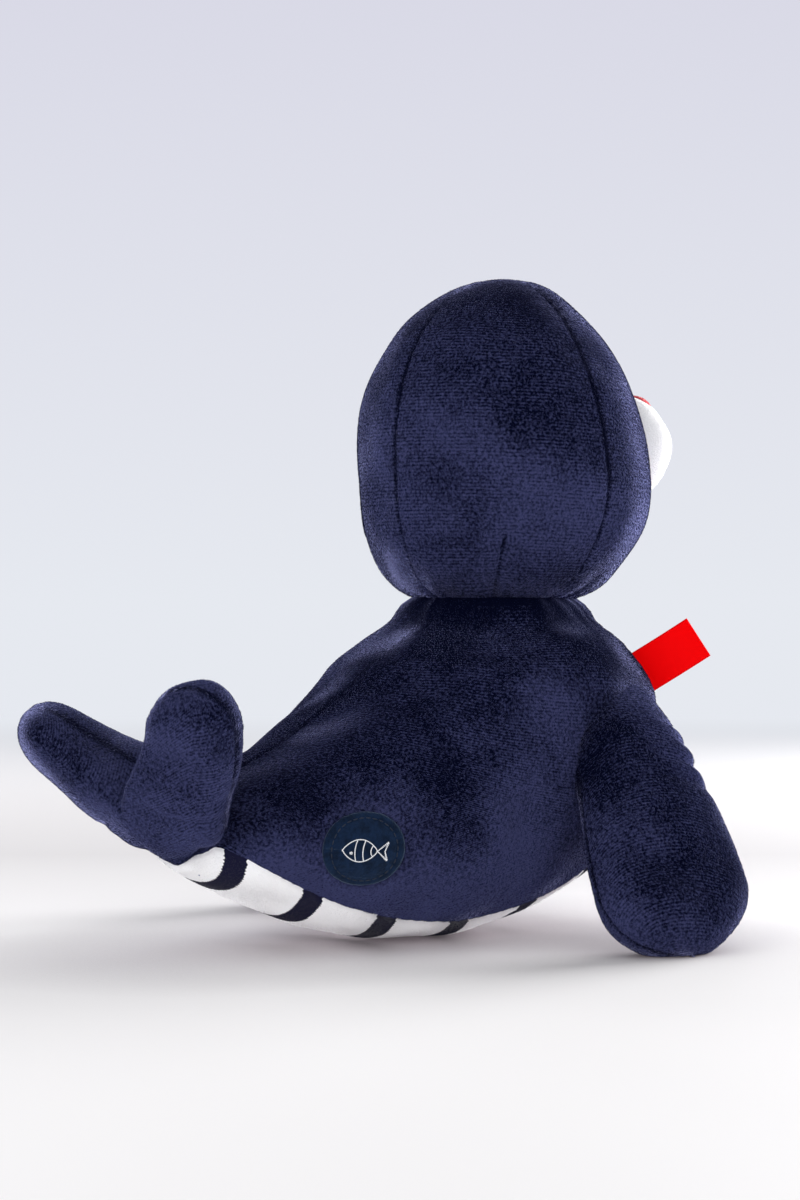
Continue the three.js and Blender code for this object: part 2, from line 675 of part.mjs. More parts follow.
[['eye_left', 1], ['eye_right', -1]].forEach(([name, side]) => {
  const pitch = radians(EYE_PITCH);
  const turn = side * radians(EYE_TURN);
  const middle = headPoint(pitch, turn);
  const up = headPoint(pitch + ANGLE_STEP, turn).sub(headPoint(pitch - ANGLE_STEP, turn)).normalize();
  const across = headPoint(pitch, turn + ANGLE_STEP).sub(headPoint(pitch, turn - ANGLE_STEP)).normalize();
  const out = across.clone().cross(up);
  const eye = ellipsoid(middle, out, across, [EYE_HALF_DEPTH, EYE_RADIUS, EYE_RADIUS], TRIM_SIDES);
  addPiece(head, name, eye.subtract(headSeat), eyeThread);
});

// The origin lies under the middle of the seal
const middle = new THREE.Box3().setFromObject(seal, true).getCenter(new THREE.Vector3());
torso.position.set(-middle.x, -middle.y, 0);
seal.updateMatrixWorld(true);

export default seal;
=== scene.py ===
import json
import math

import bpy
import numpy as np
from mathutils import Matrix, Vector
from mathutils.bvhtree import BVHTree


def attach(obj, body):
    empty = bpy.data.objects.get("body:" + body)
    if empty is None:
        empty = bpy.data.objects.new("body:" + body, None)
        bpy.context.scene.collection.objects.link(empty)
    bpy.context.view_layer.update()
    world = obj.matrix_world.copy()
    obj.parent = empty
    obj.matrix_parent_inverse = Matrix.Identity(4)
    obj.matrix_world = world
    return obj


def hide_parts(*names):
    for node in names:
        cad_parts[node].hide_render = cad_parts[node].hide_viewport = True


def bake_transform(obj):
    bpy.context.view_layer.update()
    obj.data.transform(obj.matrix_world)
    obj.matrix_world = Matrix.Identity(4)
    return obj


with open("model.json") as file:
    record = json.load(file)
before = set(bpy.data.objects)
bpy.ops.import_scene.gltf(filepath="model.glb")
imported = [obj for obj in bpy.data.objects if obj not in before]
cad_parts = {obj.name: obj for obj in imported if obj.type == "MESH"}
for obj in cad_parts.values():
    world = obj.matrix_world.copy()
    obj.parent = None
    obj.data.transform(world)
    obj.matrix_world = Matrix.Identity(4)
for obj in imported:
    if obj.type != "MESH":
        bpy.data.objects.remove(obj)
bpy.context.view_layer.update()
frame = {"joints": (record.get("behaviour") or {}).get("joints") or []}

mm = 0.001  # sizes below are in millimetres, with the head's axis at x = y = 0
joints = {joint["name"]: joint for joint in frame["joints"]}
scene = bpy.context.scene
xAxis, yAxis, zAxis = np.eye(3)

neck = {"radius": 32, "height": 112, "setback": 4.5, "collarHeight": 7, "collarFlare": 2.5, "lip": 0.5,
        "gatherSize": 30, "gatherWander": 2.5, "bendReach": 22}
headAxisY = joints["head_turn"]["pos_m"][1] / mm - neck["setback"]  # the head's axis in the frame
floorGap = {"cloth": 0.3, "pile": 0.05}  # mm that cloth and pressed pile keep above the floor


# Small helpers

def unit(vectors):
    length = np.linalg.norm(vectors, axis=-1, keepdims=True)
    return vectors / np.maximum(length, 1e-9)


def fromFrame(point):  # a point of the frame, in metres, brought to the sewing room's millimetres
    return np.array(point) / mm - headAxisY * yAxis


def toFrame(points):
    return (np.asarray(points) + headAxisY * yAxis) * mm


def lumps(points, size, seed, waves=16):  # soft unevenness of stuffing, about -1 to 1
    rng = np.random.default_rng(seed)
    total = np.zeros(points.shape[:-1])
    for _ in range(waves):
        direction = unit(rng.normal(size=3))
        pitch = size * rng.uniform(0.7, 1.5)
        total += np.cos(points @ direction * (2 * math.pi / pitch) + rng.uniform(0, 2 * math.pi))
    return total / math.sqrt(waves)


def dip(distance, width):  # a groove's profile: 1 at its line, 0 far from it
    return np.exp(-(distance / width) ** 2)


def rise(value, low, high):
    share = np.clip((value - low) / (high - low), 0, 1)
    return share * share * (3 - 2 * share)


def gridFaces(index):  # four-sided faces between the points of a grid
    corners = (index[:-1, :-1], index[:-1, 1:], index[1:, 1:], index[1:, :-1])
    return np.stack([corner.ravel() for corner in corners], axis=1)


def gridNormals(grid, outward):  # outward is a rough guess of the way out at each point
    across = np.gradient(grid, axis=1)
    along = np.gradient(grid, axis=0)
    normal = unit(np.cross(along, across))
    sign = np.sign(np.sum(normal * outward, axis=-1, keepdims=True))
    return normal * np.where(sign == 0, 1, sign)


def edgeDistances(grid):  # distance of each point from the panel's four edges, measured on the cloth
    acrossStep = np.linalg.norm(np.diff(grid, axis=1), axis=-1)
    alongStep = np.linalg.norm(np.diff(grid, axis=0), axis=-1)
    fromLeft = np.pad(np.cumsum(acrossStep, axis=1), ((0, 0), (1, 0)))
    fromTop = np.pad(np.cumsum(alongStep, axis=0), ((1, 0), (0, 0)))
    return fromLeft, fromLeft[:, -1:] - fromLeft, fromTop, fromTop[-1:] - fromTop


stroke = {"wander": 0.55, "wanderSize": 26, "uneven": 0.3, "unevenSize": 34}  # how a hand left the pile


def brushed(grid, sign, seed):  # the way the pile lies: along the cloth, wandering as if stroked by hand
    along, across = unit(np.gradient(grid, axis=0)), unit(np.gradient(grid, axis=1))
    onward = 1 + stroke["uneven"] * lumps(grid, stroke["unevenSize"], seed + 1)
    aside = lumps(grid, stroke["wanderSize"], seed)
    return unit(sign * along * onward[..., None] + stroke["wander"] * aside[..., None] * across)


def evenSpread(values, lengths, count):  # values that step evenly along a length
    travelled = np.concatenate([[0], np.cumsum(lengths)])
    return np.interp(np.linspace(0, travelled[-1], count), travelled, values)


edgeCrowding = 0.45  # how far a panel's columns crowd towards its seams


def edgeSpread(count):  # shares from 0 to 1, closer together near both ends
    even = np.linspace(0, 1, count)
    return (1 - edgeCrowding) * even + edgeCrowding * (0.5 - 0.5 * np.cos(math.pi * even))


# Materials

def rgb(red, green, blue):
    return (red, green, blue, 1.0)


def addNode(tree, kind, inputs=None, **settings):
    made = tree.nodes.new(kind)
    for key, value in settings.items():
        setattr(made, key, value)
    for key, value in (inputs or {}).items():
        if isinstance(value, bpy.types.NodeSocket):
            tree.links.new(value, made.inputs[key])
        else:
            made.inputs[key].default_value = value
    return made


def calc(tree, operation, *values):  # a Math node, with its inputs in order
    return addNode(tree, "ShaderNodeMath", dict(enumerate(values)), operation=operation).outputs[0]


def mapped(tree, value, low, high, toLow=0.0, toHigh=1.0, **settings):  # a Map Range node
    return addNode(tree, "ShaderNodeMapRange", {
        "Value": value, "From Min": low, "From Max": high, "To Min": toLow, "To Max": toHigh},
        **settings).outputs[0]


def noise(tree, place, scale, detail):
    made = addNode(tree, "ShaderNodeTexNoise", {"Vector": place, "Scale": scale, "Detail": detail})
    return made.outputs["Fac"]


def mixColor(tree, factor, first, second):
    made = addNode(tree, "ShaderNodeMix", {0: factor, 6: first, 7: second}, data_type="RGBA")
    return made.outputs[2]


def objectPlace(tree):
    return addNode(tree, "ShaderNodeTexCoord").outputs["Object"]


def attribute(tree, name):
    return addNode(tree, "ShaderNodeAttribute", attribute_name=name).outputs["Fac"]


def newGroup(name, kind, inputs, outputs):
    group = bpy.data.node_groups.new(name, kind)
    for label, socketType in inputs:
        group.interface.new_socket(name=label, in_out="INPUT", socket_type=socketType)
    for label, socketType in outputs:
        group.interface.new_socket(name=label, in_out="OUTPUT", socket_type=socketType)
    return group, group.nodes.new("NodeGroupInput"), group.nodes.new("NodeGroupOutput")


def newMaterial(name, settings):
    material = bpy.data.materials.new(name)
    material.use_nodes = True
    shader = material.node_tree.nodes["Principled BSDF"]
    for key, value in settings.items():
        shader.inputs[key].default_value = value
    return material, material.node_tree, shader


pileGrain = {"rowPitch": 1.15, "uneven": 0.2, "faintRow": 0.15,  # rows in mm, scales per metre
             "rowScale": 110.0, "speckScale": 1100.0, "bumpScale": 1500.0, "bumpDepth": 0.0005}
pileInputs = {"rootColor": "NodeSocketColor", "tipColor": "NodeSocketColor", "patchSize": "NodeSocketFloat",
              "patchDepth": "NodeSocketFloat", "rowDepth": "NodeSocketFloat", "speckDepth": "NodeSocketFloat",
              "faceUpShade": "NodeSocketFloat", "grain": "NodeSocketFloat"}


def pileToneGroup():  # tone of pile: root to tip, brushed patches, knitted rows, painted shade where it lies face up, and the painted shade and light that the cloth carries
    group, source, result = newGroup(
        "pileTone", "ShaderNodeTree", pileInputs.items(),
        [("Color", "NodeSocketColor"), ("Normal", "NodeSocketVector")])
    given = source.outputs
    place = objectPlace(group)
    patches = noise(group, place, calc(group, "DIVIDE", 1.0, given["patchSize"]), 2.0)
    patches = mapped(group, patches, 0.35, 0.65, -1.0, 1.0, interpolation_type="SMOOTHSTEP")
    uneven = mapped(group, attribute(group, "shade"), 0.0, 1.0, -pileGrain["uneven"], pileGrain["uneven"])
    phase = calc(group, "MULTIPLY", attribute(group, "course"), 2 * math.pi / pileGrain["rowPitch"])
    clear = mapped(group, noise(group, place, pileGrain["rowScale"], 1.0), 0.35, 0.6, pileGrain["faintRow"])
    rows = calc(group, "MULTIPLY", calc(group, "SINE", phase), clear)
    specks = mapped(group, noise(group, place, pileGrain["speckScale"], 1.0), 0.3, 0.7, -1.0, 1.0)
    normal = addNode(group, "ShaderNodeNewGeometry").outputs["Normal"]
    faceUp = addNode(group, "ShaderNodeSeparateXYZ", {0: normal}).outputs["Z"]
    tone = calc(group, "ADD", attribute(group, "tip"), uneven)
    for share, depth in ((patches, "patchDepth"), (rows, "rowDepth"), (specks, "speckDepth")):
        tone = calc(group, "ADD", tone, calc(group, "MULTIPLY", share, given[depth]))
    # painted shade: seams, creases, the neck and parts under others darker; painted light where the value is
    # below 0
    tone = calc(group, "SUBTRACT", tone, attribute(group, "paintedShade"))
    # painted shade: pile that faces up is darker
    tone = calc(group, "SUBTRACT", tone, calc(group, "MULTIPLY", faceUp, given["faceUpShade"]))
    tone.node.use_clamp = True
    group.links.new(mixColor(group, tone, given["rootColor"], given["tipColor"]), result.inputs["Color"])
    onCloth = calc(group, "SUBTRACT", 1.0, attribute(group, "strand"))
    bump = addNode(group, "ShaderNodeBump", {
        "Height": noise(group, place, pileGrain["bumpScale"], 2.0), "Distance": pileGrain["bumpDepth"],
        "Strength": calc(group, "MULTIPLY", given["grain"], onCloth)})
    group.links.new(bump.outputs["Normal"], result.inputs["Normal"])
    return group


pileTone = pileToneGroup()


def pileMaterial(name, look):
    material, tree, shader = newMaterial(name, look["shader"])
    tone = addNode(tree, "ShaderNodeGroup", node_tree=pileTone)
    for key in pileInputs:
        tone.inputs[key].default_value = look[key]
    tree.links.new(tone.outputs["Color"], shader.inputs["Base Color"])
    tree.links.new(tone.outputs["Normal"], shader.inputs["Normal"])
    return material, tree, shader, tone.outputs["Color"]


navyLook = {
    "rootColor": rgb(0.0012, 0.0020, 0.0105), "tipColor": rgb(0.0430, 0.0485, 0.1260),
    "patchSize": 0.036, "patchDepth": 0.22, "rowDepth": 0.24, "speckDepth": 0.42, "faceUpShade": 0.8,
    "grain": 0.5,
    "shader": {"Roughness": 0.9, "Specular IOR Level": 0.0, "Sheen Weight": 1.0, "Sheen Roughness": 0.3,
               "Sheen Tint": rgb(0.50, 0.53, 1.0)},
}
whiteLook = {
    "rootColor": rgb(0.84, 0.84, 0.87), "tipColor": rgb(0.985, 0.985, 0.995),
    "patchSize": 0.012, "patchDepth": 0.15, "rowDepth": 0.12, "speckDepth": 0.1, "faceUpShade": 0.0,
    "grain": 0.25,
    "shader": {"Roughness": 0.9, "Specular IOR Level": 0.1, "Sheen Weight": 0.15, "Sheen Roughness": 0.5},
}
redLook = {
    "rootColor": rgb(0.42, 0.012, 0.02), "tipColor": rgb(0.72, 0.03, 0.05),
    "patchSize": 0.006, "patchDepth": 0.2, "rowDepth": 0.1, "speckDepth": 0.1, "faceUpShade": 0.0,
    "grain": 0.3,
    "shader": {"Roughness": 0.85, "Specular IOR Level": 0.15, "Sheen Weight": 0.3, "Sheen Roughness": 0.5,
               "Sheen Tint": rgb(1.0, 0.55, 0.55)},
}
feltLook = {
    "rootColor": rgb(0.003, 0.008, 0.022), "tipColor": rgb(0.007, 0.019, 0.052),
    "patchSize": 0.003, "patchDepth": 0.3, "rowDepth": 0.0, "speckDepth": 0.2, "faceUpShade": 0.0,
    "grain": 0.6,
    "shader": {"Roughness": 0.85, "Specular IOR Level": 0.03, "Sheen Weight": 0.3, "Sheen Roughness": 0.5,
               "Sheen Tint": rgb(0.4, 0.55, 0.8)},
}
navyPile = pileMaterial("navyPile", navyLook)[0]
whitePile = pileMaterial("whitePile", whiteLook)[0]
redPile = pileMaterial("redPile", redLook)[0]
navyFelt = pileMaterial("navyFelt", feltLook)[0]


def threadMaterial(name, dark, light, roughness):  # thread whose tone wanders a little
    material, tree, shader = newMaterial(name, {"Roughness": roughness, "Specular IOR Level": 0.4})
    fleck = noise(tree, objectPlace(tree), 1800.0, 2.0)
    tree.links.new(mixColor(tree, fleck, dark, light), shader.inputs["Base Color"])
    return material


eyeThread = threadMaterial("eyeThread", rgb(0.004, 0.004, 0.006), rgb(0.016, 0.016, 0.022), 0.35)
ringThread = threadMaterial("ringThread", rgb(0.002, 0.005, 0.014), rgb(0.008, 0.018, 0.045), 0.5)
whiteThread = threadMaterial("whiteThread", rgb(0.70, 0.72, 0.76), rgb(0.92, 0.92, 0.93), 0.5)

satin = {"ribPitch": 0.55, "ribDepth": 0.35, "edgeFrom": 6.9, "edgeTo": 7.4, "edgeDepth": 0.5,  # mm
         "faceColor": rgb(0.95, 0.0002, 0.0012), "ribColor": rgb(0.84, 0.0002, 0.001),
         "edgeColor": rgb(0.55, 0.001, 0.003)}


def satinMaterial():  # fine ribs across the ribbon, woven edges a little darker
    material, tree, shader = newMaterial("redSatin", {"Roughness": 0.5, "Specular IOR Level": 0.02})
    phase = calc(tree, "MULTIPLY", attribute(tree, "station"), 2 * math.pi / satin["ribPitch"])
    depth = mapped(tree, calc(tree, "SINE", phase), -1.0, 1.0, 0.0, satin["ribDepth"])
    face = mixColor(tree, depth, satin["faceColor"], satin["ribColor"])
    fromMiddle = calc(tree, "ABSOLUTE", attribute(tree, "course"))
    edge = mapped(tree, fromMiddle, satin["edgeFrom"], satin["edgeTo"], 0.0, satin["edgeDepth"])
    tree.links.new(mixColor(tree, edge, face, satin["edgeColor"]), shader.inputs["Base Color"])
    return material


redSatin = satinMaterial()

stripes = {"first": 0.8, "white": 22.3, "navy": 8.0,  # mm along the belly from the tail's end
           "tooth": 0.55, "toothPitch": 1.3, "fray": 0.2, "frayScale": 900.0,
           "navyColor": rgb(0.006, 0.006, 0.027)}


def stripedMaterial():  # navy stripes with toothed knit edges, across the white jersey
    material, tree, shader, pile = pileMaterial("stripedJersey", whiteLook)
    ragged = noise(tree, objectPlace(tree), stripes["frayScale"], 2.0)
    fray = mapped(tree, ragged, 0.3, 0.7, -stripes["fray"] - stripes["first"],
                  stripes["fray"] - stripes["first"])
    teeth = calc(tree, "PINGPONG", attribute(tree, "across"), stripes["toothPitch"] / 2)
    teeth = calc(tree, "MULTIPLY_ADD", teeth, 2 * stripes["tooth"] / stripes["toothPitch"], fray)
    along = calc(tree, "ADD", attribute(tree, "station"), teeth)
    cycle = calc(tree, "FLOORED_MODULO", along, stripes["white"] + stripes["navy"])
    inStripe = calc(tree, "GREATER_THAN", cycle, stripes["white"])
    tree.links.new(mixColor(tree, inStripe, pile, stripes["navyColor"]), shader.inputs["Base Color"])
    return material


stripedJersey = stripedMaterial()


# Pile: short strands that lean with the nap, drawn together in little tufts

strands = {"courseRise": 0.13, "shortest": 0.75, "longest": 1.1, "courseShade": 0.35, "darkest": 0.25,
           "palest": 0.75, "litLean": 0.1, "rootTone": 0.15, "tipTone": 0.75}


def pileTree():
    sizes = ("strandsPerArea", "strandLength", "strandRadius", "lean", "tuft", "tuftSize", "stray",
             "coursePitch")
    tree, source, result = newGroup(
        "pile", "GeometryNodeTree",
        [("cloth", "NodeSocketGeometry"), *((name, "NodeSocketFloat") for name in sizes),
         ("seed", "NodeSocketInt"), ("finish", "NodeSocketMaterial")],
        [("cloth", "NodeSocketGeometry")])
    given = source.outputs

    def named(name, kind="FLOAT"):
        made = addNode(tree, "GeometryNodeInputNamedAttribute", {"Name": name}, data_type=kind)
        return made.outputs["Attribute"]

    def store(geometry, name, value, kind="FLOAT"):
        return addNode(tree, "GeometryNodeStoreNamedAttribute", {
            "Geometry": geometry, "Name": name, "Value": value}, data_type=kind).outputs[0]

    def vectorCalc(operation, *values):
        made = addNode(tree, "ShaderNodeVectorMath", dict(enumerate(values)), operation=operation)
        return made.outputs[0]

    def stretched(vector, factor):
        made = addNode(tree, "ShaderNodeVectorMath", {0: vector, "Scale": factor}, operation="SCALE")
        return made.outputs[0]

    def chance(low, high, offset):
        seed = addNode(tree, "FunctionNodeIntegerMath", {0: given["seed"], 1: offset}, operation="ADD")
        made = addNode(tree, "FunctionNodeRandomValue", {"Seed": seed.outputs[0]}, data_type="FLOAT")
        made.inputs[2].default_value, made.inputs[3].default_value = low, high
        return made.outputs[1]

    scatter = addNode(tree, "GeometryNodeDistributePointsOnFaces", {
        "Mesh": given["cloth"], "Seed": given["seed"],
        "Density": calc(tree, "MULTIPLY", given["strandsPerArea"], named("fill"))})
    tuftScale = calc(tree, "DIVIDE", 1.0, given["tuftSize"])
    pull = addNode(tree, "ShaderNodeTexNoise", {"Scale": tuftScale, "Detail": 1.0}).outputs["Color"]
    pull = stretched(vectorCalc("SUBTRACT", pull, (0.5, 0.5, 0.5)), given["tuft"])
    strayed = addNode(tree, "FunctionNodeRandomValue", {"Seed": given["seed"]}, data_type="FLOAT_VECTOR")
    strayed.inputs[0].default_value, strayed.inputs[1].default_value = (-1, -1, -1), (1, 1, 1)
    laid = stretched(named("nap", "FLOAT_VECTOR"), given["lean"])
    aim = vectorCalc("ADD", scatter.outputs["Normal"], laid)
    aim = vectorCalc("ADD", aim, pull)
    aim = vectorCalc("ADD", aim, stretched(strayed.outputs[0], given["stray"]))
    aim = vectorCalc("NORMALIZE", aim)

    course = calc(tree, "DIVIDE", named("course"), given["coursePitch"])
    wave = calc(tree, "SINE", calc(tree, "MULTIPLY", course, 2 * math.pi))
    combed = calc(tree, "MULTIPLY_ADD", wave, strands["courseRise"], 1 - strands["courseRise"])
    length = calc(tree, "MULTIPLY", given["strandLength"], combed)
    length = calc(tree, "MULTIPLY", length, chance(strands["shortest"], strands["longest"], 1))
    shade = calc(tree, "MULTIPLY_ADD", wave, strands["courseShade"],
                 chance(strands["darkest"], strands["palest"], 2))
    lit = vectorCalc("ADD", named("lit", "FLOAT_VECTOR"), stretched(aim, strands["litLean"]))
    points = store(scatter.outputs["Points"], "lit", vectorCalc("NORMALIZE", lit), "FLOAT_VECTOR")
    points = store(points, "shade", shade)

    strand = addNode(tree, "GeometryNodeMeshCone", {
        "Vertices": 3, "Radius Top": 0.0, "Radius Bottom": 1.0, "Depth": 1.0},
        fill_type="NONE").outputs["Mesh"]
    height = addNode(tree, "ShaderNodeSeparateXYZ", {
        0: addNode(tree, "GeometryNodeInputPosition").outputs[0]}).outputs["Z"]
    strand = store(strand, "tip", mapped(tree, height, 0.0, 1.0, strands["rootTone"], strands["tipTone"]))
    strand = store(strand, "strand", 1.0)

    spin = addNode(tree, "ShaderNodeCombineXYZ", {"Z": chance(0.0, 2 * math.pi, 3)}).outputs[0]
    spin = addNode(tree, "FunctionNodeEulerToRotation", {0: spin}).outputs[0]
    turn = addNode(tree, "FunctionNodeAlignRotationToVector", {"Rotation": spin, "Vector": aim}, axis="Z")
    size = addNode(tree, "ShaderNodeCombineXYZ", {
        "X": given["strandRadius"], "Y": given["strandRadius"], "Z": length}).outputs[0]
    planted = addNode(tree, "GeometryNodeInstanceOnPoints", {
        "Points": points, "Instance": strand, "Rotation": turn.outputs[0], "Scale": size}).outputs[0]
    both = addNode(tree, "GeometryNodeJoinGeometry")
    tree.links.new(planted, both.inputs[0])
    tree.links.new(given["cloth"], both.inputs[0])
    real = addNode(tree, "GeometryNodeRealizeInstances", {0: both.outputs[0]}).outputs[0]
    dressed = addNode(tree, "GeometryNodeSetMaterial", {"Geometry": real, "Material": given["finish"]})
    tree.links.new(dressed.outputs[0], result.inputs[0])
    return tree


def runTree(piece, tree, values):  # runs a node tree on a piece and keeps the result as a plain mesh
    modifier = piece.modifiers.new(tree.name, "NODES")
    modifier.node_group = tree
    for item in tree.interface.items_tree:
        if item.item_type == "SOCKET" and item.in_out == "INPUT" and item.name in values:
            modifier[item.identifier] = values[item.name]
    graph = bpy.context.evaluated_depsgraph_get()
    mesh = bpy.data.meshes.new_from_object(
        piece.evaluated_get(graph), preserve_all_data_layers=True, depsgraph=graph)
    piece.modifiers.remove(modifier)
    old, piece.data = piece.data, mesh
    bpy.data.meshes.remove(old)


pileNodes = pileTree()
navyNap = {"strandsPerArea": 3.6e6, "strandLength": 0.95 * mm, "strandRadius": 0.07 * mm, "lean": 3.0,
           "tuft": 2.0, "tuftSize": 2.2 * mm, "stray": 0.35, "coursePitch": pileGrain["rowPitch"]}
whiteNap = {"strandsPerArea": 3.6e6, "strandLength": 0.55 * mm, "strandRadius": 0.08 * mm, "lean": 2.0,
            "tuft": 1.2, "tuftSize": 1.4 * mm, "stray": 0.3, "coursePitch": pileGrain["rowPitch"]}
pileHeight = 0.5  # mm that the laid pile stands above its backing


def growPile(piece, nap, material, seed):
    runTree(piece, pileNodes, {**nap, "seed": seed, "finish": material})
    mesh = piece.data
    count = len(mesh.vertices)
    lit = np.zeros(count * 3, np.float32)
    mesh.attributes["lit"].data.foreach_get("vector", lit)
    place = np.zeros(count * 3, np.float32)
    mesh.vertices.foreach_get("co", place)
    place = place.reshape(-1, 3)
    place[:, 2] = np.maximum(place[:, 2], floorGap["pile"] * mm)
    mesh.vertices.foreach_set("co", place.ravel())
    for name in ("lit", "nap", "fill"):
        mesh.attributes.remove(mesh.attributes[name])
    free = mesh.attributes.new("custom_normal", "FLOAT_VECTOR", "POINT")
    free.data.foreach_set("vector", unit(lit.reshape(-1, 3)).ravel())
    mesh.update()


# Cloth panels: an outer and an inner face with a rim, closed all round

backing = {"thickness": 1.2, "tone": 0.4, "shade": 0.5, "mapEdge": 0.02}


def clothPanel(name, outer, normal, details, thickness=backing["thickness"]):
    rows, columns = outer.shape[:2]
    count = rows * columns
    inner = outer - normal * thickness
    points = toFrame(np.concatenate([outer.reshape(-1, 3), inner.reshape(-1, 3)]))
    index = np.arange(count).reshape(rows, columns)
    face = gridFaces(index)
    loop = np.concatenate([index[0, :], index[1:, -1], index[-1, -2::-1], index[-2:0:-1, 0]])
    around = np.stack([loop, np.roll(loop, -1)], axis=1)
    rim = np.concatenate([around[:, ::-1], around + count], axis=1)
    middle = outer.reshape(-1, 3)[face[(rows // 2) * (columns - 1) + columns // 2]]
    facing = np.cross(middle[1] - middle[0], middle[3] - middle[0])
    if facing @ normal[rows // 2, columns // 2] < 0:
        face, rim = face[:, ::-1], rim[:, ::-1]
    faces = np.concatenate([face, face[:, ::-1] + count, rim])
    mesh = bpy.data.meshes.new(name)
    mesh.from_pydata(points.tolist(), [], faces.tolist())
    mesh.polygons.foreach_set("use_smooth", np.ones(len(faces), bool))

    low, high = backing["mapEdge"], 1 - backing["mapEdge"]
    share = np.stack(np.meshgrid(np.linspace(low, high, columns), np.linspace(low, high, rows)), axis=-1)
    share = np.tile(share.reshape(-1, 2), (2, 1))
    corner = faces.ravel().copy()
    flat = np.repeat(faces[:, 0], 4)  # hidden faces take one spot of the shown face's map
    corner[len(face) * 4:] = flat[len(face) * 4:]
    bakeMap = mesh.uv_layers.new(name="OFBake")
    bakeMap.data.foreach_set("uv", share[corner].ravel().astype(np.float32))

    point = {"fill": np.concatenate([details["fill"].ravel(), np.zeros(count)]),
             "tip": np.full(2 * count, backing["tone"]), "shade": np.full(2 * count, backing["shade"])}
    for key in ("course", "station", "across", "paintedShade"):
        if key in details:
            point[key] = np.tile(details[key].ravel(), 2)
    for key, value in point.items():
        layer = mesh.attributes.new(key, "FLOAT", "POINT")
        layer.data.foreach_set("value", value.astype(np.float32))
    nap = details["nap"]
    lit = unit(details.get("facing", normal) + details.get("tilt", 0) * nap)  # laid pile tips the light's way
    for key, value in (("nap", np.stack([nap, nap])), ("lit", np.stack([lit, -normal]))):
        layer = mesh.attributes.new(key, "FLOAT_VECTOR", "POINT")
        layer.data.foreach_set("vector", value.astype(np.float32).ravel())
    mesh.update()
    piece = bpy.data.objects.new(name, mesh)
    scene.collection.objects.link(piece)
    return piece


# gloom and gloomWidth set the painted shade along a seam's groove
seam = {"depth": 0.8, "width": 0.9, "pucker": 0.35, "puckerPitch": 5.5, "puckerReach": 5.0,
        "puckerSize": 16, "puckerWander": 2.2, "bareFrom": 0.1, "bareTo": 0.5, "gloom": 0.9,
        "gloomWidth": 0.8}


def seamSink(toSeam, alongSeam, seed):  # how far a seam draws the cloth in: its groove, and small gathers
    strip = np.stack([alongSeam, toSeam * 0.2, alongSeam * 0], axis=-1)
    wander = seam["puckerWander"] * lumps(strip, seam["puckerSize"], seed)
    gather = 0.5 + 0.5 * np.sin(2 * math.pi * alongSeam / seam["puckerPitch"] + wander)
    groove = seam["depth"] * dip(toSeam, seam["width"])
    return groove, seam["pucker"] * gather * np.exp(-toSeam / seam["puckerReach"])


def neckGathers(size, turn, grid, fromEdge, seed):  # small folds where cloth is drawn in at the neck
    wander = neck["gatherWander"] * lumps(grid, neck["gatherSize"], seed)
    fold = 0.5 + 0.5 * np.sin(size["gathers"] * turn + wander)
    return size["gather"] * fold * np.exp(-fromEdge / size["gatherReach"])


def neckLip(points, fromEdge, size, level):  # rolls the cloth in, so that head and body close on each other
    lip = dip(fromEdge, size["tuckReach"])[..., None]
    axis = np.array([0, neck["setback"], 0])
    inward = unit((axis - points) * np.array([1, 1, 0]))
    points = points + inward * size["tuck"] * lip
    points[..., 2] += (level - points[..., 2]) * lip[..., 0]
    return points


# Body

body = {
    "ridge": [(50, 97.5), (62, 90), (72, 82.5), (84, 75), (96, 68), (109, 62), (123, 56), (136, 50)],
    "keel": [(-41, 96), (-52, 78), (-47, 42), (-14, 12.5), (40, -0.5), (86, 5), (118, 17), (138, 25.5)],
    "halfWidth": [43.5, 53.5, 56, 54, 48, 39, 28, 16],
    "belly": [42, 45, 42, 37, 37, 42, 54, 78],  # degrees of the striped panel, each way from the keel
    "tailCap": 8, "tailTaper": 0.75, "rows": 132, "sideColumns": 76, "bellyColumns": 48, "capEnd": 0.97,
    "shapeColumns": 97, "tuck": 6.0, "tuckReach": 2.8, "gather": 0.7, "gatherReach": 9.0, "gathers": 26,
    "lump": 0.6, "lumpSize": 34, "seamEase": 12, "bellyBareFrom": 0.6, "bellyBareTo": 1.6, "seed": 11,
    "napTilt": 0.55, "gloomReach": 7, "paintedLight": 0.4, "palerFrom": 8, "palerTo": 48,
    "chestGloom": 0.6, "chestFrom": 20, "chestTo": 60,
    "glooms": [((48, -9, 88), 0.7, 24), ((47, 12, 28), 0.8, 13)],  # painted shade spots at the shoulder and the armpit: place on the left side, depth, reach
}


def curvePoints(points, places):  # centripetal curve through the points, places counted in points
    points = np.asarray(points, float)
    last = len(points) - 1
    ends = np.concatenate([[2 * points[0] - points[1]], points, [2 * points[-1] - points[-2]]])
    start = np.clip(np.floor(places).astype(int), 0, last - 1)
    share = (places - start)[..., None]
    a, b, c, d = (ends[start + step] for step in range(4))
    stepA, stepB, stepC = (np.sqrt(np.linalg.norm(q - p, axis=-1, keepdims=True))
                           for p, q in ((a, b), (b, c), (c, d)))
    leave = ((b - a) / stepA - (c - a) / (stepA + stepB) + (c - b) / stepB) * stepB
    arrive = ((c - b) / stepB - (d - b) / (stepB + stepC) + (d - c) / stepC) * stepB
    return (b + leave * share + (3 * (c - b) - 2 * leave - arrive) * share ** 2
            + (2 * (b - c) + leave + arrive) * share ** 3)


